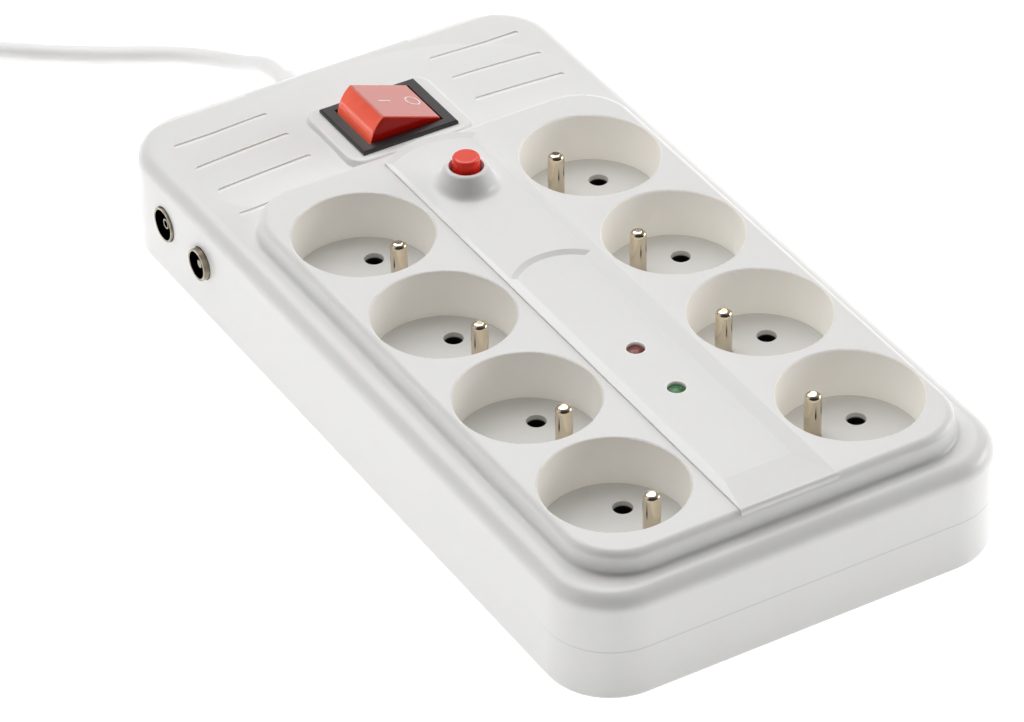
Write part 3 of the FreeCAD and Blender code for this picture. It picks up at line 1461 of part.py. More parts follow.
def cord_gland():
    """A bend guard that grips the rear wall between its flange and its tapered sleeve."""
    body = new_body("cord_gland", 0, REAR, CORD_Z)
    sketch = sketch_on(body, "Profile", "YZ_Plane")
    bore = CORD_RADIUS + size("gland_bore_clearance")
    outer = size("gland_diameter") / 2
    groove = size("gland_groove_diameter") / 2
    tip = size("gland_tip_diameter") / 2
    flange = -WALL_AND_LIP - size("gland_flange")
    outline(sketch, [(flange, bore), (size("gland_length"), bore), (size("gland_length"), tip),
                     (size("gland_flange"), outer), (0, outer), (0, groove),
                     (-WALL_AND_LIP, groove), (-WALL_AND_LIP, outer), (flange, outer)])
    turned(body, sketch, "H_Axis")
    return keep(body)


def cord_clamp():
    """A saddle that presses the cord on its rest."""
    body = new_body("cord_clamp", 0, CLAMP_Y, 0)
    bar = sketch_on(body, "Bar", offset=CLAMP_UNDERSIDE)
    half_width, half_length = size("clamp_width") / 2, size("clamp_length") / 2
    rectangle(bar, -half_width, half_width, -half_length, half_length)
    pad(body, bar, CLAMP_TOP - CLAMP_UNDERSIDE)
    groove = sketch_on(body, "Groove", "XZ_Plane", -half_length - 1)
    circle(groove, 0, CORD_Z, CORD_RADIUS)
    pocket(body, groove, size("clamp_length") + 2, along_normal=True)
    spacing = size("clamp_screw_spacing") / 2
    holes = circles_at(body, "Holes", CLAMP_TOP + 1, [(-spacing, 0), (spacing, 0)],
                       size("clamp_screw_diameter") + size("screw_clearance") * 2)
    pocket(body, holes, CLAMP_TOP - CLAMP_UNDERSIDE + 2)
    return keep(body)


def clamp_screws():
    reach = CLAMP_TOP - CLAMP_UNDERSIDE + size("clamp_screw_bite")
    screws = [screw(f"ClampScrew{index}", x, y, CLAMP_TOP, size("clamp_screw_head"),
                    size("clamp_screw_head_height"), size("clamp_screw_diameter"), reach, up=False)
              for index, (x, y) in enumerate(clamp_screw_places(), start=1)]
    return keep(grouped("clamp_screws", screws))


def cord_inner_end():
    """The jacketed end of the cord inside the casing, up to the tip of the bend guard."""
    start = CLAMP_Y - size("clamp_length") / 2 - size("jacket_beyond_clamp")
    stop = REAR + size("gland_length")
    jacket = rod("cord_inner_end", 0, start, CORD_Z, size("cord_diameter"), stop - start, ALONG_Y)
    return keep(jacket)


# Corners of the cord behind the strip: X, distance from the rear wall, and height as a share
# of the drop from the bend guard to the floor
CORD_CORNERS = [(-0.5, 34.6, 0.852), (-1.9, 44.8, 0.370), (-8.1, 59.1, 0.083),
                (-18.4, 68.7, 0), (-31.1, 75.8, 0), (-50.0, 89.1, 0), (-72.5, 107.8, 0),
                (-99.0, 124.5, 0)]


def unit(vector):
    return Vector(vector).normalize()


def rounded_path(points):
    """Straight runs joined by tangent arcs; each arc takes 0.45 of the shorter run."""
    edges = []
    radii = []
    length = 0.0
    here = points[0]
    for before, corner, after in zip(points, points[1:], points[2:]):
        arriving = corner - before
        leaving = after - corner
        half_turn = arriving.getAngle(leaving) / 2
        reach = 0.45 * min(arriving.Length, leaving.Length)
        radius = reach / math.tan(half_turn)
        start = corner - unit(arriving) * reach
        stop = corner + unit(leaving) * reach
        inward = unit(unit(leaving) - unit(arriving))
        middle = corner + inward * (radius / math.cos(half_turn) - radius)
        edges.append(Part.LineSegment(here, start).toShape())
        edges.append(Part.Arc(start, middle, stop).toShape())
        length += (start - here).Length + radius * 2 * half_turn
        radii.append(round(radius, 1))
        here = stop
    edges.append(Part.LineSegment(here, points[-1]).toShape())
    length += (points[-1] - here).Length
    return edges, radii, length


def tube_along(name, edges, diameter, length, start, heading):
    """A round tube along the edges; its volume is compared with section times length."""
    section = Part.Wire(Part.makeCircle(diameter / 2, start, heading))
    shape = Part.Wire(edges).makePipeShell([section], True, False)
    expected = math.pi * diameter ** 2 / 4 * length
    print(f"{name}: length {length:.1f} mm, volume {shape.Volume:.0f} mm3 "
          f"against {expected:.0f} mm3")
    if abs(shape.Volume / expected - 1) > 0.01:
        raise ValueError(f"{name} is not a plain tube")
    return keep(feature(name, shape))


def cord_route():
    """Corner points of the free stretch, from the bend guard's tip to the start of the coil."""
    tip = Vector(0, REAR.value + SIZES["gland_length"], CORD_Z.value)
    lying = SIZES["cord_diameter"] / 2
    drop = CORD_Z.value - lying
    points = [tip, tip + Vector(0, 6.9, 0)]
    for x, beyond_wall, height in CORD_CORNERS:
        points.append(Vector(x, REAR.value + beyond_wall, lying + drop * height))
    return points


def cord():
    points = cord_route()
    edges, radii, length = rounded_path(points)
    print("cord bend radii", radii)
    return tube_along("cord", edges, SIZES["cord_diameter"], length, points[0],
                      points[1] - points[0])


def arc_through(start, tangent, stop):
    """The arc that leaves the start along the tangent and ends at the stop."""
    chord = stop - start
    across = unit(tangent - unit(chord) * tangent.dot(unit(chord)))
    bulge = chord.Length / 2 * math.tan(tangent.getAngle(chord) / 2)
    return Part.Arc(start, (start + stop) / 2 + across * bulge, stop).toShape()


def biarc(start, tangent, stop, end_tangent):
    """Two arcs that share a tangent where they meet."""
    step = stop - start
    both = tangent + end_tangent
    closing = 2 * (1 - tangent.dot(end_tangent))
    along = step.dot(both)
    reach = (math.sqrt(along ** 2 + closing * step.dot(step)) - along) / closing
    joint = (start + stop + (tangent - end_tangent) * reach) / 2
    middle = unit(joint - start - tangent * reach)
    return [arc_through(start, tangent, joint), arc_through(joint, middle, stop)]


def coil_points():
    """Points and headings along the coil, which winds in on the floor and out on top of it."""
    diameter = SIZES["cord_diameter"]
    step = diameter + SIZES["coil_turn_gap"]
    route = cord_route()
    heading = unit(route[-1] - route[-2])
    begin = route[-1] + heading * diameter
    rate = step / (2 * math.pi)

    turns = SIZES["coil_turns"]
    outer = SIZES["coil_radius"] + step * turns / 4
    lag = math.atan(rate / outer)
    first = math.atan2(heading.y, heading.x) - math.pi / 2 - lag
    last = math.pi + lag
    sweep = (last - first) % (2 * math.pi) + 2 * math.pi * turns
    centre = begin - Vector(math.cos(first), math.sin(first), 0) * outer

    count = 2 * math.ceil(sweep / math.pi)
    turn = sweep / count
    half = sweep / 2
    points = []
    for index in range(count + 1):
        done = turn * index
        inward = rate if index < count / 2 else -rate
        radius = outer - rate * (half - abs(half - done))
        climb = min(max((index - (count / 2 - 1)) / 2, 0), 1)
        angle = first + done
        place_now = Vector(math.cos(angle), math.sin(angle), 0) * radius
        forward = Vector(-math.sin(angle), math.cos(angle), 0) * radius
        if index == count / 2:
            direction = forward + Vector(0, 0, step / (2 * turn) * 1.5)
        else:
            direction = forward - Vector(math.cos(angle), math.sin(angle), 0) * inward
        points.append((centre + place_now + Vector(0, 0, step * climb), unit(direction)))
    return route[-1], heading, points


def least_gap(points, spacing, diameter):
    """The least clear distance between parts of a path that are over a third of a turn apart."""
    far = int(SIZES["coil_radius"] * 2 / spacing)
    least = min((first - second).Length
                for index, first in enumerate(points) for second in points[index + far:])
    return least - diameter


def cord_coil():
    """The rest of the cord as one unbroken coil in two layers."""
    diameter = SIZES["cord_diameter"]
    start, heading, points = coil_points()
    edges = [Part.LineSegment(start, points[0][0]).toShape()]
    for (place_now, tangent), (place_next, next_tangent) in zip(points, points[1:]):
        edges += biarc(place_now, tangent, place_next, next_tangent)
    finish = points[-1][0] + points[-1][1] * diameter
    edges.append(Part.LineSegment(points[-1][0], finish).toShape())
    length = sum(edge.Length for edge in edges)
    spacing = 2.0
    samples = Part.Wire(edges).discretize(Distance=spacing)
    gap = least_gap(samples, spacing, diameter)
    print(f"cord_coil: least gap to itself {gap:.2f} mm")
    return tube_along("cord_coil", edges, diameter, length, start, heading)


def plug_place():
    """Middle of the plug and the point where the cord meets its bend guard."""
    _, _, points = coil_points()
    finish = points[-1][0] + points[-1][1] * SIZES["cord_diameter"]
    reach = SIZES["plug_relief_length"] + SIZES["plug_diameter"] / 2 - 2
    return finish + points[-1][1] * reach, finish


def plug():
    """A right-angle plug lying on its back, with its pins up."""
    middle, finish = plug_place()
    body = new_body("PlugCore", middle.x, middle.y, 0)
    face = size("plug_back") + size("plug_nose")
    back = sketch_on(body, "Back")
    circle(back, 0, 0, size("plug_diameter") / 2)
    heel = pad(body, back, size("plug_back"))
    fillet(body, heel, size("plug_round"), lambda edge: at_height(edge, 0))
    nose = circles_at(body, "Nose", size("plug_back") - 0.5, [(0, 0)], size("plug_nose_diameter"))
    front = pad(body, nose, size("plug_nose") + 0.5)
    chamfer(body, front, size("plug_nose_bevel"), lambda edge: at_height(edge, face))
    pins = [(-size("hole_pitch") / 2, 0), (size("hole_pitch") / 2, 0)]
    pin_holes = circles_at(body, "PinSeats", face + 1, pins,
                           size("pin_diameter") - size("pin_root_relief") * 2)
    pocket(body, pin_holes, size("plug_pin_seat") + 1)
    earth = [(0, -size("earth_offset"))]
    sleeve_hole = circles_at(body, "SleeveSeat", face + 1, earth, size("plug_sleeve_diameter"))
    pocket(body, sleeve_hole, size("plug_sleeve_depth") + 1)
    recess = sketch_on(body, "SideSeats", offset=size("plug_back"))
    half = size("plug_contact_width") / 2
    rim_y = size("plug_nose_diameter") / 2
    seat_y = rim_y - size("plug_contact_sunk") - size("plug_contact_thickness")
    for sign in (-1, 1):
        rectangle(recess, -half, half, min_of(seat_y * sign, (rim_y + 1) * sign),
                  max_of(seat_y * sign, (rim_y + 1) * sign))
    pocket(body, recess, size("plug_nose") + 1, along_normal=True)

    guard = doc.addObject("Part::Cone", "PlugGuard")
    bind(guard, "Radius1", CORD_RADIUS + 1)
    bind(guard, "Radius2", size("plug_relief_diameter") / 2)
    bind(guard, "Height", size("plug_relief_length"))
    guard.Placement = Placement(Vector(), Rotation(Vector(1, 0, 0), 90))
    place(guard, finish.x, finish.y, finish.z)
    keep(joined("plug_body", [body, guard]))

    plug_pins = [rounded_pin(f"PlugPin{index}", middle.x + x, middle.y + y,
                             face - size("plug_pin_seat"), size("plug_pin_seat"),
                             size("plug_pin_length"))
                 for index, (x, y) in enumerate(pins, start=1)]
    keep(grouped("plug_pins", plug_pins))

    strip_y = seat_y + size("plug_contact_thickness") / 2
    contacts = [block("PlugStrip", middle.x, middle.y + strip_y * sign, size("plug_back"),
                      size("plug_contact_width"), size("plug_contact_thickness"),
                      size("plug_nose") - size("plug_nose_bevel")) for sign in (-1, 1)]
    sleeve_z = face - size("plug_sleeve_depth")
    sleeve_y = middle.y - size("earth_offset")
    sleeve = rod("PlugSleeveTube", middle.x, sleeve_y, sleeve_z, size("plug_sleeve_diameter"),
                 size("plug_sleeve_depth"))
    bore = rod("PlugSleeveBore", middle.x, sleeve_y, sleeve_z + 1, size("plug_sleeve_bore"),
               size("plug_sleeve_depth"))
    contacts.append(cut("PlugSleeve", sleeve, bore))
    keep(grouped("plug_earth_contacts", contacts))


def min_of(first, second):
    return first if first.value < second.value else second


def max_of(first, second):
    return first if first.value > second.value else second


def rounded_pin(name, x, y, z, seat, proud):
    """A round contact pin with a rounded tip and a slimmer root in its seat."""
    body = new_body(name, x, y, z)
    sketch = sketch_on(body, "Profile", "XZ_Plane")
    radius = size("pin_diameter") / 2
    root = radius - size("pin_root_relief")
    root_top = seat + size("pin_root_height")
    length = seat + proud
    tip = size("pin_tip_round")
    outline(sketch, [(0, 0), (root, 0), (root, root_top), (radius, root_top),
                     (radius, length - tip), (radius - tip, length), (0, length)],
            {4: tip})
    turned(body, sketch)
    return body


def build_all():
    top_shell()
    bottom_shell()
    housing_screws()
    sockets()
    for name, line in RAIL_LINES.items():
        rail(name, *line)
    earth_busbar()
    switch_housing()
    switch_rocker()
    tabs("Switch", "switch_terminals", SWITCH_Y, SWITCH_TABS)
    breaker_body()
    reset_cap()
    breaker_spring()
    tabs("Breaker", "breaker_terminals", BUTTON_Y, BREAKER_TABS)
    lamp("lamp_red", RED_Y)
    lamp("lamp_green", GREEN_Y)
    protection_board()
    board_screws()
    board_components()
    coax_parts()
    cord_gland()
    cord_clamp()
    clamp_screws()
    cord_inner_end()
    cord()
    cord_coil()
    plug()


build_all()
doc.recompute()

faults = [item.Name for item in doc.Objects
          if any(state in item.State for state in ("Invalid", "Error"))]
for node in NODES:
    if node.Shape.isNull() or not node.Shape.isValid() or not node.Shape.Solids:
        faults.append(node.Label)
if faults:
    raise ValueError("objects that did not build: " + ", ".join(faults))

os.makedirs("parts", exist_ok=True)
for node in NODES:
    node.Shape.exportStep(f"parts/{node.Label}.step")
print(len(NODES), "nodes written")
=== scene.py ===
# %% [markdown]
# An eight-way surge protector power strip in off-white plastic. Its moulded halves, pins, switch,
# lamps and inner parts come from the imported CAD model, which is loaded here as a frame that stays
# fixed. This lesson gives every part of that frame a finish, lays the mains lead as a smooth
# curve, prints the switch's two marks on its rocker, and sets up the camera and the light.

# %% Load the fixed frame
import math
from fnmatch import fnmatch

import bpy
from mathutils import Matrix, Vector


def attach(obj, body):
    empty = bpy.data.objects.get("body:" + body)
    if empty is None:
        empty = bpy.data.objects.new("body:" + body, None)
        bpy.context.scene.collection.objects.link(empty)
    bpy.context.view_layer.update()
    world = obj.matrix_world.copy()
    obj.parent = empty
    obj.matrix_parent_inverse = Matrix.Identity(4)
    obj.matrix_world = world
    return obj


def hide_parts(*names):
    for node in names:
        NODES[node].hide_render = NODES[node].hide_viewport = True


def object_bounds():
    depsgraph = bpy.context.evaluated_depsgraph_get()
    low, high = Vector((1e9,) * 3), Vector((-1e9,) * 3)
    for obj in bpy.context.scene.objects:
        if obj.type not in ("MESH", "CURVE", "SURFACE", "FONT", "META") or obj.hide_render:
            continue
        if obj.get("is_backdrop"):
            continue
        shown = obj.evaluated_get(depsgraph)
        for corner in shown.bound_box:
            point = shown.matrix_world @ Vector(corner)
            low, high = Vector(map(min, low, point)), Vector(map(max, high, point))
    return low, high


MM = 0.001


def in_mm(lengths):
    """The lengths in rounded millimetres, for printing."""
    return [round(length / MM, 1) for length in lengths]


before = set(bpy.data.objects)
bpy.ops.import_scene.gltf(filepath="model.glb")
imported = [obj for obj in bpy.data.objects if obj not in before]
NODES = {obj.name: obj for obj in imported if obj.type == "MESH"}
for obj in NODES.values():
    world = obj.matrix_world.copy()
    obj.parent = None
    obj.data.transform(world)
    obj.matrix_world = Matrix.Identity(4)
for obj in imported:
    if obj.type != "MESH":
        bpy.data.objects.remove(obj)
cad_low, cad_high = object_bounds()
print("CAD box in mm:", in_mm((*cad_low, *cad_high)))


# %% [markdown]
# The camera stands where the photographer stood: to the front left, about a metre and a half
# away, with a long lens. A long lens keeps the casing's far edges nearly parallel. Its place
# and lens were worked out from the eight round wells, whose size and spacing are known.

# %% Camera
CASING_MIDDLE = Vector((0, 0, 0.02))

camera_data = bpy.data.cameras.new("camera")
camera_data.sensor_width = 36
camera_data.lens = 191.64
camera_data.clip_start = 0.05
camera_data.clip_end = 20
camera = bpy.data.objects.new("camera", camera_data)
bpy.context.scene.collection.objects.link(camera)
camera.location = (-0.62193, -1.04399, 0.90777)
camera.rotation_euler = [math.radians(a) for a in (53.4348, 0.6651, -30.7758)]
bpy.context.scene.camera = camera
bpy.context.scene.view_settings.view_transform = "Standard"
bpy.context.scene.view_settings.look = "None"
print("camera to casing in m:", round((camera.location - CASING_MIDDLE).length, 3))


# %% [markdown]
# A catalogue photograph of white plastic is lit by large soft panels. The largest hangs over the
# rear. A weak one stands on the left, and one on the right lights the front wall from the side.
# A low one behind the right rear corner, which only glossy faces see, gives the pale glare on
# the switch.

# %% Panels
def soft_panel(name, place, width, height, watts):
    """A rectangular light aimed at the middle of the casing."""
    data = bpy.data.lights.new(name, "AREA")
    data.shape = "RECTANGLE"
    data.size, data.size_y = width, height
    data.energy = watts
    panel = bpy.data.objects.new(name, data)
    bpy.context.scene.collection.objects.link(panel)
    panel.location = place
    aim = CASING_MIDDLE - Vector(place)
    panel.rotation_euler = aim.to_track_quat("-Z", "Y").to_euler()
    print(name, "in W:", watts, "at", place)
    return panel


soft_panel("key_left", (-1.5, 0.45, 0.9), width=1.4, height=1.2, watts=3.2)
soft_panel("top_panel", (0.1, 0.62, 1.15), width=1.3, height=1.0, watts=11.9)
rear_glare = soft_panel("rear_glare", (1.15, 1.35, 0.36), width=1.5, height=0.45, watts=2.2)
rear_glare.visible_diffuse = False
soft_panel("right_fill", (1.95, -0.55, 0.6), width=1.2, height=0.8, watts=15)


# %% [markdown]
# Between the panels the studio is dim, and dimmest on the camera's own side. So slopes that tilt
# up towards the camera are the darkest, while upright walls still get light from the white
# sheet. High behind the strip the sky has one small dark part, which the pin tips mirror.

# %% Studio sky
TOWARDS_REAR, DARK_PATCH = (0.45, 0.89, 0.0), (0.42, 0.70, 0.58)

world = bpy.data.worlds.new("studio")
bpy.context.scene.world = world
world.use_nodes = True
sky, sky_links = world.node_tree.nodes, world.node_tree.links
direction = sky.new("ShaderNodeTexCoord").outputs["Generated"]


def sky_share(axis, low, high, light_low, light_high):
    """Light that changes as a sky direction's share along the axis grows from low to high."""
    dot = sky.new("ShaderNodeVectorMath")
    dot.operation = "DOT_PRODUCT"
    dot.inputs[1].default_value = Vector(axis).normalized()
    sky_links.new(direction, dot.inputs[0])
    share = sky.new("ShaderNodeMapRange")
    share.interpolation_type = "SMOOTHSTEP"
    share.inputs["From Min"].default_value = low
    share.inputs["From Max"].default_value = high
    share.inputs["To Min"].default_value = light_low
    share.inputs["To Max"].default_value = light_high
    sky_links.new(dot.outputs["Value"], share.inputs["Value"])
    return share.outputs["Result"]


dim_to_bright = sky_share(TOWARDS_REAR, low=-0.6, high=0.5, light_low=0.05, light_high=0.42)
all_but_patch = sky_share(DARK_PATCH, low=0.955, high=0.985, light_low=1.0, light_high=0.06)
sky_light = sky.new("ShaderNodeMath")
sky_light.operation = "MULTIPLY"
sky_links.new(dim_to_bright, sky_light.inputs[0])
sky_links.new(all_but_patch, sky_light.inputs[1])
sky_links.new(sky_light.outputs["Value"], sky["Background"].inputs["Strength"])
sky["Background"].inputs["Color"].default_value = (1.0, 0.99, 0.98, 1)
print("sky nodes:", len(sky))


# %% [markdown]
# The strip lies on a plain white sheet, which is only a plane. It glows a little by itself, so
# that it prints as pure white and the casing's shadow on it stays faint. It lies a hair lower
# than the casing's underside, so that no two faces share one plane.

# %% White sheet
SHEET_SIZE, SHEET_DROP = 9, 0.0004

bpy.ops.object.select_all(action="DESELECT")
bpy.ops.mesh.primitive_plane_add(size=SHEET_SIZE, location=(0, 0, -SHEET_DROP))
sheet = bpy.context.object
sheet.name = "white_sheet"
sheet_finish = bpy.data.materials.new("white_sheet")
sheet_finish.use_nodes = True
sheet_shader = sheet_finish.node_tree.nodes["Principled BSDF"]
sheet_shader.inputs["Base Color"].default_value = (0.93, 0.93, 0.93, 1)
sheet_shader.inputs["Roughness"].default_value = 0.9
sheet_shader.inputs["Specular IOR Level"].default_value = 0.1
sheet_shader.inputs["Emission Color"].default_value = (1, 1, 1, 1)
sheet_shader.inputs["Emission Strength"].default_value = 0.66
sheet.data.materials.append(sheet_finish)
sheet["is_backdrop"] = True
print("sheet corners:", len(sheet.data.vertices))


# %% [markdown]
# A finish is a Principled shader fed by a few noise textures. One noise shifts the colour very
# slightly, as batches of pigment and handling do. A second one changes the roughness, and a
# third, much finer, becomes a bump: moulded plastic is never optically flat. A noise's values
# gather round 0.5, so only a band round it is spread over the whole change. All noises read
# Object coordinates, which are metres here, so a noise scale of 1000 has features of about 1 mm.

# %% A finish from noise
GRAIN_SCALE = 350
FADED = 0.97
TONE_BAND, SHINE_BAND = (0.35, 0.65), (0.3, 0.7)


def finish(name, colour, roughness, tint=None, tint_scale=60, spread=0.06, grain=0.0015,
           **sockets):
    """A material: two close colours, uneven roughness and a fine bump (grain in mm)."""
    material = bpy.data.materials.new(name)
    material.use_nodes = True
    nodes, links = material.node_tree.nodes, material.node_tree.links
    shader = nodes["Principled BSDF"]
    place = nodes.new("ShaderNodeTexCoord").outputs["Object"]

    def noise(scale, detail):
        texture = nodes.new("ShaderNodeTexNoise")
        texture.inputs["Scale"].default_value = scale
        texture.inputs["Detail"].default_value = detail
        links.new(place, texture.inputs["Vector"])
        return texture.outputs["Fac"]

    tones = nodes.new("ShaderNodeValToRGB")
    first, second = tones.color_ramp.elements
    first.position, second.position = TONE_BAND
    first.color = (*colour, 1)
    second.color = (*(tint or [c * FADED for c in colour]), 1)
    links.new(noise(tint_scale, 3), tones.inputs["Fac"])
    links.new(tones.outputs["Color"], shader.inputs["Base Color"])

    shine = nodes.new("ShaderNodeMapRange")
    shine.inputs["From Min"].default_value = SHINE_BAND[0]
    shine.inputs["From Max"].default_value = SHINE_BAND[1]
    shine.inputs["To Min"].default_value = roughness - spread / 2
    shine.inputs["To Max"].default_value = roughness + spread / 2
    links.new(noise(tint_scale * 4, 4), shine.inputs["Value"])
    links.new(shine.outputs["Result"], shader.inputs["Roughness"])

    bump = nodes.new("ShaderNodeBump")
    bump.inputs["Distance"].default_value = grain * MM
    links.new(noise(GRAIN_SCALE, 2), bump.inputs["Height"])
    links.new(bump.outputs["Normal"], shader.inputs["Normal"])
    for socket, value in sockets.items():
        shader.inputs[socket.replace("_", " ")].default_value = value
    return material


def dress(material, *names):
    """Give the material to CAD nodes; a * in a name stands for any letters."""
    dressed = [name for name in NODES if any(fnmatch(name, wanted) for wanted in names)]
    for name in dressed:
        NODES[name].data.materials.clear()
        NODES[name].data.materials.append(material)
    print(material.name, "on", len(dressed), "of", len(NODES), "nodes")


# %% [markdown]
# Some finishes change with the place on the piece, and there the colour paints light and shade:
# the wells get a warmer, brighter white as painted light, and the halves of the casing meet in a
# painted dark line of shade. Math nodes work this out from the same Object coordinates. A small
# class lets plain sums stand for those nodes, so that the masks below, which go from 0 to 1, read
# like ordinary formulas.

# %% Numbers that a material works out
class Number:
    """A number that a material works out at every point of the surface."""

    def __init__(self, material, socket):
        self.material, self.socket = material, socket

    def step(self, operation, *others):
        """A math node that takes this number first, then the others."""
        tree = self.material.node_tree
        node = tree.nodes.new("ShaderNodeMath")
        node.operation = operation
        for entry, value in zip(node.inputs, (self, *others)):
            if isinstance(value, Number):
                tree.links.new(value.socket, entry)
            else:
                entry.default_value = value
        return Number(self.material, node.outputs["Value"])

    def __add__(self, other):
        return self.step("ADD", other)

    def __sub__(self, other):
        return self.step("SUBTRACT", other)

    def __rsub__(self, plain):
        return self * -1 + plain

    def __mul__(self, other):
        return self.step("MULTIPLY", other)

    def __abs__(self):
        return self.step("ABSOLUTE")

    def over(self, limit):
        """1 where the number is over the limit, 0 elsewhere."""
        return self.step("GREATER_THAN", limit)

    def under(self, limit):
        """1 where the number is under the limit, 0 elsewhere."""
        return self.step("LESS_THAN", limit)

    def wrapped(self, pitch):
        """The number counted from the nearest multiple of the pitch."""
        return self.step("WRAP", pitch / 2, -pitch / 2)

    def ramp(self, none, full):
        """0 where the number is at none, 1 where it is at full."""
        tree = self.material.node_tree
        node = tree.nodes.new("ShaderNodeMapRange")
        node.inputs["From Min"].default_value = none
        node.inputs["From Max"].default_value = full
        tree.links.new(self.socket, node.inputs["Value"])
        return Number(self.material, node.outputs["Result"])

    def feed(self, name):
        """Let the number set one of the shader's sockets."""
        tree = self.material.node_tree
        tree.links.new(self.socket, tree.nodes["Principled BSDF"].inputs[name])


# %% [markdown]
# Three helpers use such numbers. One reads where a point lies or which way its surface faces,
# one mixes a second colour into the first, and one paints light as a trace of emission.

# %% Colour and light by place
def coordinates(material, kind):
    """X, Y and Z of a point's place in metres (kind Object) or of the way it faces (Normal)."""
    nodes, links = material.node_tree.nodes, material.node_tree.links
    split = nodes.new("ShaderNodeSeparateXYZ")
    links.new(nodes.new("ShaderNodeTexCoord").outputs[kind], split.inputs["Vector"])
    return [Number(material, socket) for socket in split.outputs]


MIX_FIRST, MIX_SECOND, MIX_RESULT = 6, 7, 2    # the colour sockets of a Mix node


def recolour(material, mask, colour):
    """Mix a colour into the base colour by the mask."""
    nodes, links = material.node_tree.nodes, material.node_tree.links
    base = nodes["Principled BSDF"].inputs["Base Color"]
    mix = nodes.new("ShaderNodeMix")
    mix.data_type = "RGBA"
    links.new(mask.socket, mix.inputs["Factor"])
    links.new(base.links[0].from_socket, mix.inputs[MIX_FIRST])
    mix.inputs[MIX_SECOND].default_value = (*colour, 1)
    links.new(mix.outputs[MIX_RESULT], base)


def painted_glow(material, strength, colour=(1.0, 0.95, 0.87)):
    """Painted light: emission in the colour, with the strength that a Number gives."""
    shader = material.node_tree.nodes["Principled BSDF"]
    shader.inputs["Emission Color"].default_value = (*colour, 1)
    strength.feed("Emission Strength")


# %% [markdown]
# The casing is glossy off-white ABS. Its colour is slightly warm, and a little light travels
# under the surface, which softens the shade. The roughness stays above 0.28, because the
# denoiser takes a glossier face for a mirror and leaves specks at the border.

# %% Casing
casing_white = finish("casing_white", (0.845, 0.842, 0.832), 0.33, tint=(0.84, 0.836, 0.824),
                      Subsurface_Weight=0.06, Subsurface_Scale=0.002,
                      Coat_Weight=0.12, Coat_Roughness=0.12)
x, y, z = coordinates(casing_white, "Object")
dress(casing_white, "top_shell", "bottom_shell", "cord_clamp")


# %% [markdown]
# The wells repeat every 44 mm in two columns. So their mask folds X about the middle and wraps Y
# by the pitch, and then it measures the distance to the nearest well's axis. It is cut off
# before and behind the rows and near the underside. Inside it the walls get painted light: a
# warmer, brighter white and a trace of emission, more of it on the right, where the fill panel
# stands, in place of the light that the thin walls let through.

# %% Painted light in the wells
ROW_PITCH, WELL_X, FRONT_ROW = 44 * MM, 36.7 * MM, -93.5 * MM
ROWS_FRONT, ROWS_REAR, ROWS_LOW = -114 * MM, 60 * MM, 20 * MM
WELL_NONE, WELL_FULL = 20.4 * MM, 20.1 * MM
WELL_PAINTED_LIGHT, MORE_ON_RIGHT = 0.095, 0.05


def distance(across, along):
    """The length of a vector with these two components."""
    return (across * across + along * along).step("SQRT")


def behind_axis(y):
    """How far a point lies behind the axis of its own row of wells."""
    return (y - FRONT_ROW).wrapped(ROW_PITCH)


def painted_light_by_side(x, left):
    """Painted light: so much on the left, and a little more on the right, as through a well's wall.
    """
    return x.over(0) * MORE_ON_RIGHT + left


from_axis = distance(abs(x) - WELL_X, behind_axis(y))
in_rows = y.under(ROWS_REAR) * y.over(ROWS_FRONT) * z.over(ROWS_LOW)
in_well = from_axis.ramp(WELL_NONE, WELL_FULL) * in_rows
# Painted light: the walls inside the wells are coloured a warmer, brighter white.
recolour(casing_white, in_well, (0.94, 0.915, 0.87))
# Painted light: a trace of emission on the wells' walls, more of it on the right.
painted_well_light = in_well * painted_light_by_side(x, WELL_PAINTED_LIGHT)
print("casing nodes with the wells:", len(casing_white.node_tree.nodes))


# %% [markdown]
# The walls of the two lamp holes and the grooves of the rear deck get painted light too, the same
# trace of emission, which lightens their shaded walls. Both masks come from a fold: about the
# middle between the lamps, and about every groove. The grooves' mask keeps to the deck on both
# sides of the switch.

# %% Painted light in lamp holes and grooves
FRONT_LAMP, REAR_LAMP = -65.4 * MM, -44.8 * MM
HOLE_NONE, HOLE_FULL = 2.9 * MM, 2.75 * MM
HOLE_LOW, HOLE_TOP = 37.8 * MM, 39.0 * MM
FIRST_GROOVE, GROOVE_PITCH = 73.2 * MM, 13.05 * MM
GROOVE_NONE, GROOVE_FULL = 0.95 * MM, 0.80 * MM
GROOVE_INNER, GROOVE_OUTER = 27 * MM, 57 * MM
DECK_FRONT, DECK_LOW = 72 * MM, 30 * MM
HOLE_PAINTED_LIGHT, GROOVE_PAINTED_LIGHT = 0.26, 0.10

between_lamps, half_way = (FRONT_LAMP + REAR_LAMP) / 2, (REAR_LAMP - FRONT_LAMP) / 2
from_lamp = distance(x, abs(y - between_lamps) - half_way)
in_hole = from_lamp.ramp(HOLE_NONE, HOLE_FULL) * z.ramp(HOLE_LOW, HOLE_TOP)

from_groove = abs((y - FIRST_GROOVE).wrapped(GROOVE_PITCH))
beside_switch = abs(x).over(GROOVE_INNER) * abs(x).under(GROOVE_OUTER)
on_deck = y.over(DECK_FRONT) * z.over(DECK_LOW)
in_groove = from_groove.ramp(GROOVE_NONE, GROOVE_FULL) * beside_switch * on_deck
# Painted light: emission in the wells, the lamp holes and the grooves.
painted_glow(casing_white, in_hole * HOLE_PAINTED_LIGHT + (in_groove * GROOVE_PAINTED_LIGHT + painted_well_light))
print("casing nodes with holes and grooves:", len(casing_white.node_tree.nodes))


# %% [markdown]
# The halves meet in a parting line, which catches the eye only near the front. Its shade is
# painted: a faint darker line round the casing at the height where they meet, which fades towards
# the rear.

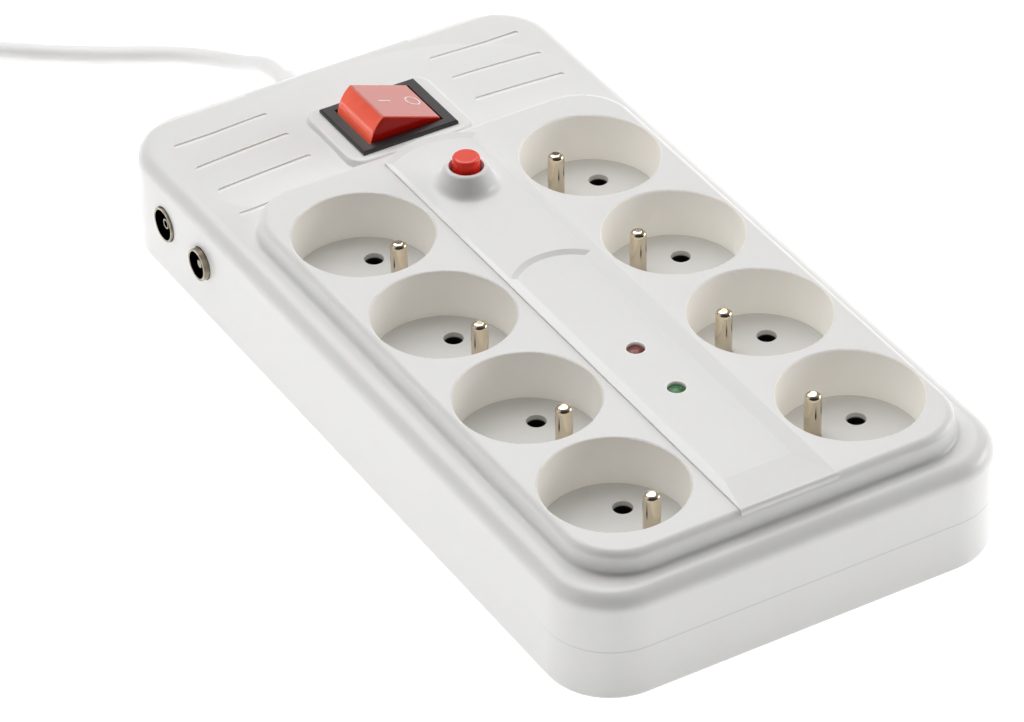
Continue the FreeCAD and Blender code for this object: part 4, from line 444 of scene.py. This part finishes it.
# %% Painted shade of the parting line
PARTING = 16 * MM
LINE_NONE, LINE_FULL = 0.26 * MM, 0.10 * MM
FADED_OUT, FULL_LINE = -100 * MM, -124 * MM

# Painted shade: a darker line where the halves meet, strongest at the front.
painted_seam_shade = abs(z - PARTING).ramp(LINE_NONE, LINE_FULL) * y.ramp(FADED_OUT, FULL_LINE)
recolour(casing_white, painted_seam_shade, (0.69, 0.67, 0.64))
print("casing nodes in all:", len(casing_white.node_tree.nodes))


# %% [markdown]
# The wells' floors are a duller, cooler moulding. Their contact holes get painted shade, black
# from a little below the floor's face, and painted light, a trace of emission, brightens each
# floor towards its rear in place of the light that comes through the well's wall.

# %% Socket floors
CONTACT_EDGE, CONTACT_DARK = 23.7 * MM, 23.2 * MM
FLOOR_DIM, FLOOR_BRIGHT = -12 * MM, 18 * MM
FLOOR_LIGHT = 0.08

floor_white = finish("floor_white", (0.63, 0.63, 0.615), 0.36)
floor_x, floor_y, floor_z = coordinates(floor_white, "Object")
painted_hole_shade = floor_z.ramp(CONTACT_EDGE, CONTACT_DARK)
# Painted shade: the contact holes are black from a little below the floor's face.
recolour(floor_white, painted_hole_shade, (0.012, 0.012, 0.012))
# Painted light: emission brightens each floor towards its rear.
painted_floor_light = behind_axis(floor_y).ramp(FLOOR_DIM, FLOOR_BRIGHT) * (1 - painted_hole_shade)
painted_glow(floor_white, painted_floor_light * painted_light_by_side(floor_x, FLOOR_LIGHT))
dress(floor_white, "socket_floor_*")


# %% [markdown]
# Bright nickel is a metal: its base colour is the colour of its reflection, a warm grey. The
# bump is tiny, because plating follows the turned pin, and the roughness stays low. The aerial
# connectors' nickel is painted darker and patchy: a painted reflection that stands for the broken
# mirror images of a dim studio on so small a shell. Rails are stamped from brass, screws are zinc
# plated, and the spring is bare steel.

# %% Metals
nickel = finish("nickel", (0.66, 0.58, 0.46), 0.16, tint=(0.61, 0.53, 0.41), grain=0.001,
                spread=0.08, Metallic=1.0)
brass = finish("brass", (0.80, 0.62, 0.32), 0.37, tint=(0.72, 0.54, 0.27), grain=0.003,
               spread=0.15, Metallic=1.0)
zinc_plate = finish("zinc_plate", (0.62, 0.62, 0.63), 0.36, tint=(0.56, 0.55, 0.54),
                    grain=0.003, spread=0.12, Metallic=1.0)
spring_steel = finish("spring_steel", (0.55, 0.55, 0.56), 0.23, Metallic=1.0)
# Painted reflection: the aerial connectors' nickel is darker and patchy.
aerial_nickel_painted_reflection = finish("aerial_nickel_painted_reflection", (0.42, 0.37, 0.29), 0.10, tint=(0.20, 0.17, 0.12),
                       tint_scale=420, grain=0.004, spread=0.10, Metallic=1.0)
dress(nickel, "earth_pin_*", "plug_pins", "plug_earth_contacts")
dress(aerial_nickel_painted_reflection, "coax_*_shell", "coax_*_contact")
dress(brass, "live_rail", "neutral_rail", "earth_busbar", "switch_terminals",
      "breaker_terminals")
dress(zinc_plate, "housing_screws", "board_screws", "clamp_screws")
dress(spring_steel, "breaker_spring")


# %% [markdown]
# The switch frame is satin black nylon, a very dark grey, since a true black would lose its
# bevel. The breaker's body is a duller phenolic black, and the connectors' insulators are black.

# %% Blacks
frame_black = finish("frame_black", (0.038, 0.035, 0.035), 0.36, grain=0.004, spread=0.08)
breaker_black = finish("breaker_black", (0.035, 0.035, 0.036), 0.48, grain=0.006)
insulator_black = finish("insulator_black", (0.026, 0.022, 0.014), 0.34)
dress(frame_black, "switch_housing")
dress(breaker_black, "breaker_body")
dress(insulator_black, "coax_input_insulator", "coax_output_insulator")


# %% [markdown]
# The rocker is clear red plastic over a hollow inside. Its light and shade are painted by the
# way each face turns: a painted glow on its end, a painted deep red on its two flat sides, which
# one looks along, and painted shade on its top. The reset cap is an opaque red whose side is
# painted deeper than its top. In both a mask by the surface's own direction picks the deeper
# colour, and takes the gloss off with it.

# %% Reds, with painted light and shade
X_AXIS, Y_AXIS, Z_AXIS = range(3)
DULL, GLOSSY = 0.2, 0.5
END_PAINTED_LIGHT = 0.36


def paint_facing_shade(material, axis, none, full, deep, coat):
    """Painted shade: a deeper, duller red where a face turns to the axis, or away where full is
    under none.
    """
    facing = coordinates(material, "Normal")
    side = abs(facing[axis]).ramp(none, full)
    recolour(material, side, deep)
    lit = 1 - side
    (lit * coat).feed("Coat Weight")
    (lit * (GLOSSY - DULL) + DULL).feed("Specular IOR Level")
    return facing


rocker_red = finish("rocker_red", (0.90, 0.13, 0.065), 0.10, tint=(0.84, 0.09, 0.045),
                    tint_scale=120, grain=0.0008, spread=0.03, Subsurface_Weight=0.4,
                    Subsurface_Scale=0.003, Coat_Roughness=0.05)
# Painted shade: the rocker's two flat sides are a deep red.
facing = paint_facing_shade(rocker_red, Y_AXIS, none=0.6, full=0.9, deep=(0.46, 0.006, 0.003), coat=0.6)
painted_top_shade = facing[Z_AXIS].ramp(0.75, 0.92)
painted_end_glow = facing[X_AXIS].ramp(-0.55, -0.95)
# Painted shade on the rocker's top, and a painted glow on its end.
recolour(rocker_red, painted_top_shade, (0.52, 0.072, 0.043))
painted_glow(rocker_red, painted_end_glow * END_PAINTED_LIGHT, (1.0, 0.16, 0.09))

cap_red = finish("cap_red", (0.94, 0.098, 0.066), 0.22, tint=(0.90, 0.085, 0.056),
                 grain=0.001, Coat_Roughness=0.1)
# Painted shade: the cap's side is a deeper red than its top.
paint_facing_shade(cap_red, Z_AXIS, none=0.8, full=0.3, deep=(0.95, 0.028, 0.014), coat=0.3)
dress(rocker_red, "switch_rocker")
dress(cap_red, "reset_cap")


# %% [markdown]
# The switch carries an I and an O, printed in white on the rocker's sloping top. Each is a thin
# inlay that stands a few hundredths of a millimetre proud. The O starts as a circle whose edge
# is extruded and widened into a flat ring; the I starts as a plane, pulled long and bevelled.

# %% Marks on the rocker
print_white = finish("print_white", (0.86, 0.80, 0.78), 0.35, grain=0.001)
ROCKER_TILT = math.radians(19.58)
ROCKER_Y = 88.8
TOP_X, TOP_Z = 7.58, 39.94
INLAY_DEPTH, MARK_HEIGHT = 0.04, 0.09
RING_RADIUS, RING_WIDENED, RING_X = 1.95, 1.23, 7.8
BAR_LENGTH, BAR_WIDTH, BAR_CORNER, BAR_X = 4.2, 0.5, 0.12, -1.3


def rocker_point(x):
    """A point in the middle of the rocker's sloping top, a little below the surface."""
    height = TOP_Z - (x - TOP_X) * math.tan(ROCKER_TILT) - INLAY_DEPTH
    return Vector((x * MM, ROCKER_Y * MM, height * MM))


def seat_mark(mark, name, x):
    """Thicken the flat mark, tilt it with the rocker, set it in place and let it ride."""
    mark.name = name
    bpy.ops.mesh.select_all(action="SELECT")
    bpy.ops.mesh.extrude_region_move(
        TRANSFORM_OT_translate={"value": (0, 0, MARK_HEIGHT * MM)})
    bpy.ops.mesh.select_all(action="SELECT")
    bpy.ops.mesh.normals_make_consistent(inside=False)
    bpy.ops.object.mode_set(mode="OBJECT")
    mark.rotation_euler = (0, ROCKER_TILT, 0)
    mark.location = rocker_point(x)
    bpy.ops.object.transform_apply(location=True, rotation=True, scale=True)
    mark.data.materials.append(print_white)
    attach(mark, "rocker")
    print(name, "faces:", len(mark.data.polygons))


bpy.ops.object.select_all(action="DESELECT")
bpy.ops.mesh.primitive_circle_add(vertices=48, radius=RING_RADIUS * MM)
mark_off = bpy.context.object
bpy.ops.object.mode_set(mode="EDIT")
bpy.ops.mesh.select_all(action="SELECT")
bpy.ops.mesh.extrude_region_move()
bpy.ops.transform.resize(value=(RING_WIDENED, RING_WIDENED, 1))
seat_mark(mark_off, "mark_off", RING_X)

bpy.ops.object.select_all(action="DESELECT")
bpy.ops.mesh.primitive_plane_add(size=1 * MM)
mark_on = bpy.context.object
bpy.ops.object.mode_set(mode="EDIT")
bpy.ops.mesh.select_all(action="SELECT")
bpy.ops.transform.resize(value=(BAR_LENGTH, BAR_WIDTH, 1))
bpy.ops.mesh.bevel(offset=BAR_CORNER * MM, segments=3, affect="VERTICES")
seat_mark(mark_on, "mark_on", BAR_X)


# %% [markdown]
# The indicator lamps are small domes of clear tinted plastic, far down in their holes. Such a
# lens shows pale and deep parts side by side where light passes and reflects, and a noise with
# features of about a millimetre paints them: painted light and shade in the lens's colour.

# %% Lamps
# Painted light and shade: a noise mixes a pale and a deep tint in each lens.
for name, light, deep in (("lamp_red", (0.30, 0.045, 0.025), (0.10, 0.008, 0.005)),
                          ("lamp_green", (0.03, 0.26, 0.07), (0.004, 0.07, 0.012))):
    lens = finish(name, light, 0.32, tint=deep, tint_scale=900, grain=0.0008,
                  Subsurface_Weight=0.3, Subsurface_Scale=0.002, Coat_Weight=0.15,
                  Coat_Roughness=0.05)
    dress(lens, name)


# %% [markdown]
# The mains lead, its bend guard and the plug are soft PVC: a brighter white than the casing's,
# with less gloss.

# %% Soft plastics
lead_white = finish("lead_white", (0.94, 0.933, 0.93), 0.42, tint=(0.92, 0.913, 0.91),
                    grain=0.004)
dress(lead_white, "cord_gland", "cord_inner_end", "plug_body")


# %% [markdown]
# Inside the casing sit two small boards and their parts. Each gets the finish that such a part
# has: solder mask over laminate, dipped varistors, a boxed capacitor, lacquered resistors,
# ceramic.

# %% Parts on the boards
board_green = finish("board_green", (0.03, 0.20, 0.08), 0.32, tint=(0.04, 0.26, 0.10),
                     tint_scale=300, grain=0.008)
varistor_blue = finish("varistor_blue", (0.05, 0.16, 0.42), 0.35, grain=0.02)
capacitor_yellow = finish("capacitor_yellow", (0.72, 0.55, 0.10), 0.38, grain=0.005)
resistor_tan = finish("resistor_tan", (0.62, 0.46, 0.28), 0.32, grain=0.005)
ceramic_white = finish("ceramic_white", (0.80, 0.78, 0.73), 0.50, grain=0.01)
dress(board_green, "protection_board", "coax_board")
dress(varistor_blue, "varistors")
dress(capacitor_yellow, "suppression_capacitor")
dress(resistor_tan, "lamp_resistors")
dress(ceramic_white, "thermal_fuse", "gas_tube")


# %% [markdown]
# The mains lead follows a route of points in millimetres. The first ones follow the lead as it
# is seen behind the casing: straight out of the bend guard, down to the table, and away to the
# left. The rest of the lead is put away as a neat coil of two layers. It winds in on the table,
# climbs over half a turn, and winds out again on top of itself, so its points come from a
# spiral's formula.

# %% Route of the lead
LEAD = 6.4 * MM
ROUTE = [(0, 150.5, 14), (0, 157.4, 14), (-0.5, 164.1, 12.4), (-1.9, 174.3, 7.2),
         (-8.1, 188.6, 4.1), (-18.4, 198.2, 3.2), (-31.1, 205.3, 3.2), (-50.0, 218.6, 3.2),
         (-72.5, 237.3, 3.2), (-99.0, 254.0, 3.2)]
COIL_OUTER = 45.75
COIL_STEP = 7.0
COIL_TURNS = 5
POINTS_PER_TURN = 16
END_RUN = 6.4
TURN = 2 * math.pi


def coil_route(route):
    """Control points of the coil that goes on from the end of the route."""
    before, last = Vector(route[-2]), Vector(route[-1])
    heading = (last - before).normalized()
    begin = last + heading * END_RUN
    rate = COIL_STEP / TURN                     # what the radius loses per radian
    lag = math.atan(rate / COIL_OUTER)          # how far a spiral leans in from its circle
    first = math.atan2(heading.y, heading.x) - math.pi / 2 - lag
    sweep = (math.pi + lag - first) % TURN + TURN * COIL_TURNS
    middle = begin - Vector((math.cos(first), math.sin(first), 0)) * COIL_OUTER
    count = round(sweep / TURN * POINTS_PER_TURN)
    outward = 1 / math.cos(sweep / count / 2)   # control points stand outside their curve
    points = []
    for index in range(count + 1):
        done = sweep * index / count
        radius = COIL_OUTER - rate * (sweep / 2 - abs(sweep / 2 - done))
        if 0 < index < count:
            radius *= outward
        climb = min(max((done - sweep / 2) / math.pi + 0.5, 0), 1)
        angle = first + done
        points.append((middle.x + radius * math.cos(angle), middle.y + radius * math.sin(angle),
                       last.z + COIL_STEP * climb))
    end = Vector((-math.sin(angle), math.cos(angle), 0)) * END_RUN
    points.append((points[-1][0] + end.x, points[-1][1] + end.y, points[-1][2]))
    return points


lead_points = [[c * MM for c in p] for p in ROUTE + coil_route(ROUTE)]
print("lead control points:", len(lead_points), "last at", in_mm(lead_points[-1]))


# %% [markdown]
# The lead itself is one smooth curve: a NURBS spline with those points as its control points,
# thickened to a round tube and closed at both ends. The order is set after the points, because
# a spline with too few points falls back to straight runs.

# %% Mains lead
lead_curve = bpy.data.curves.new("mains_lead", "CURVE")
lead_curve.dimensions = "3D"
lead_spline = lead_curve.splines.new("NURBS")
lead_spline.points.add(len(lead_points) - 1)
for knot, place in zip(lead_spline.points, lead_points):
    knot.co = (*place, 1)
lead_spline.order_u = 3
lead_spline.use_endpoint_u = True
lead_curve.resolution_u = 6
lead_curve.bevel_depth = LEAD / 2
lead_curve.bevel_resolution = 5
lead_curve.use_fill_caps = True
mains_lead = bpy.data.objects.new("mains_lead", lead_curve)
bpy.context.scene.collection.objects.link(mains_lead)
lead_curve.materials.append(lead_white)
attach(mains_lead, "strip")
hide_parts("cord", "cord_coil")
print("lead along its spline in mm:", *in_mm([lead_spline.calc_length()]))


# %% Size of the dressed strip
low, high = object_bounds()
print("dressed box in mm:", in_mm((*low, *high)))
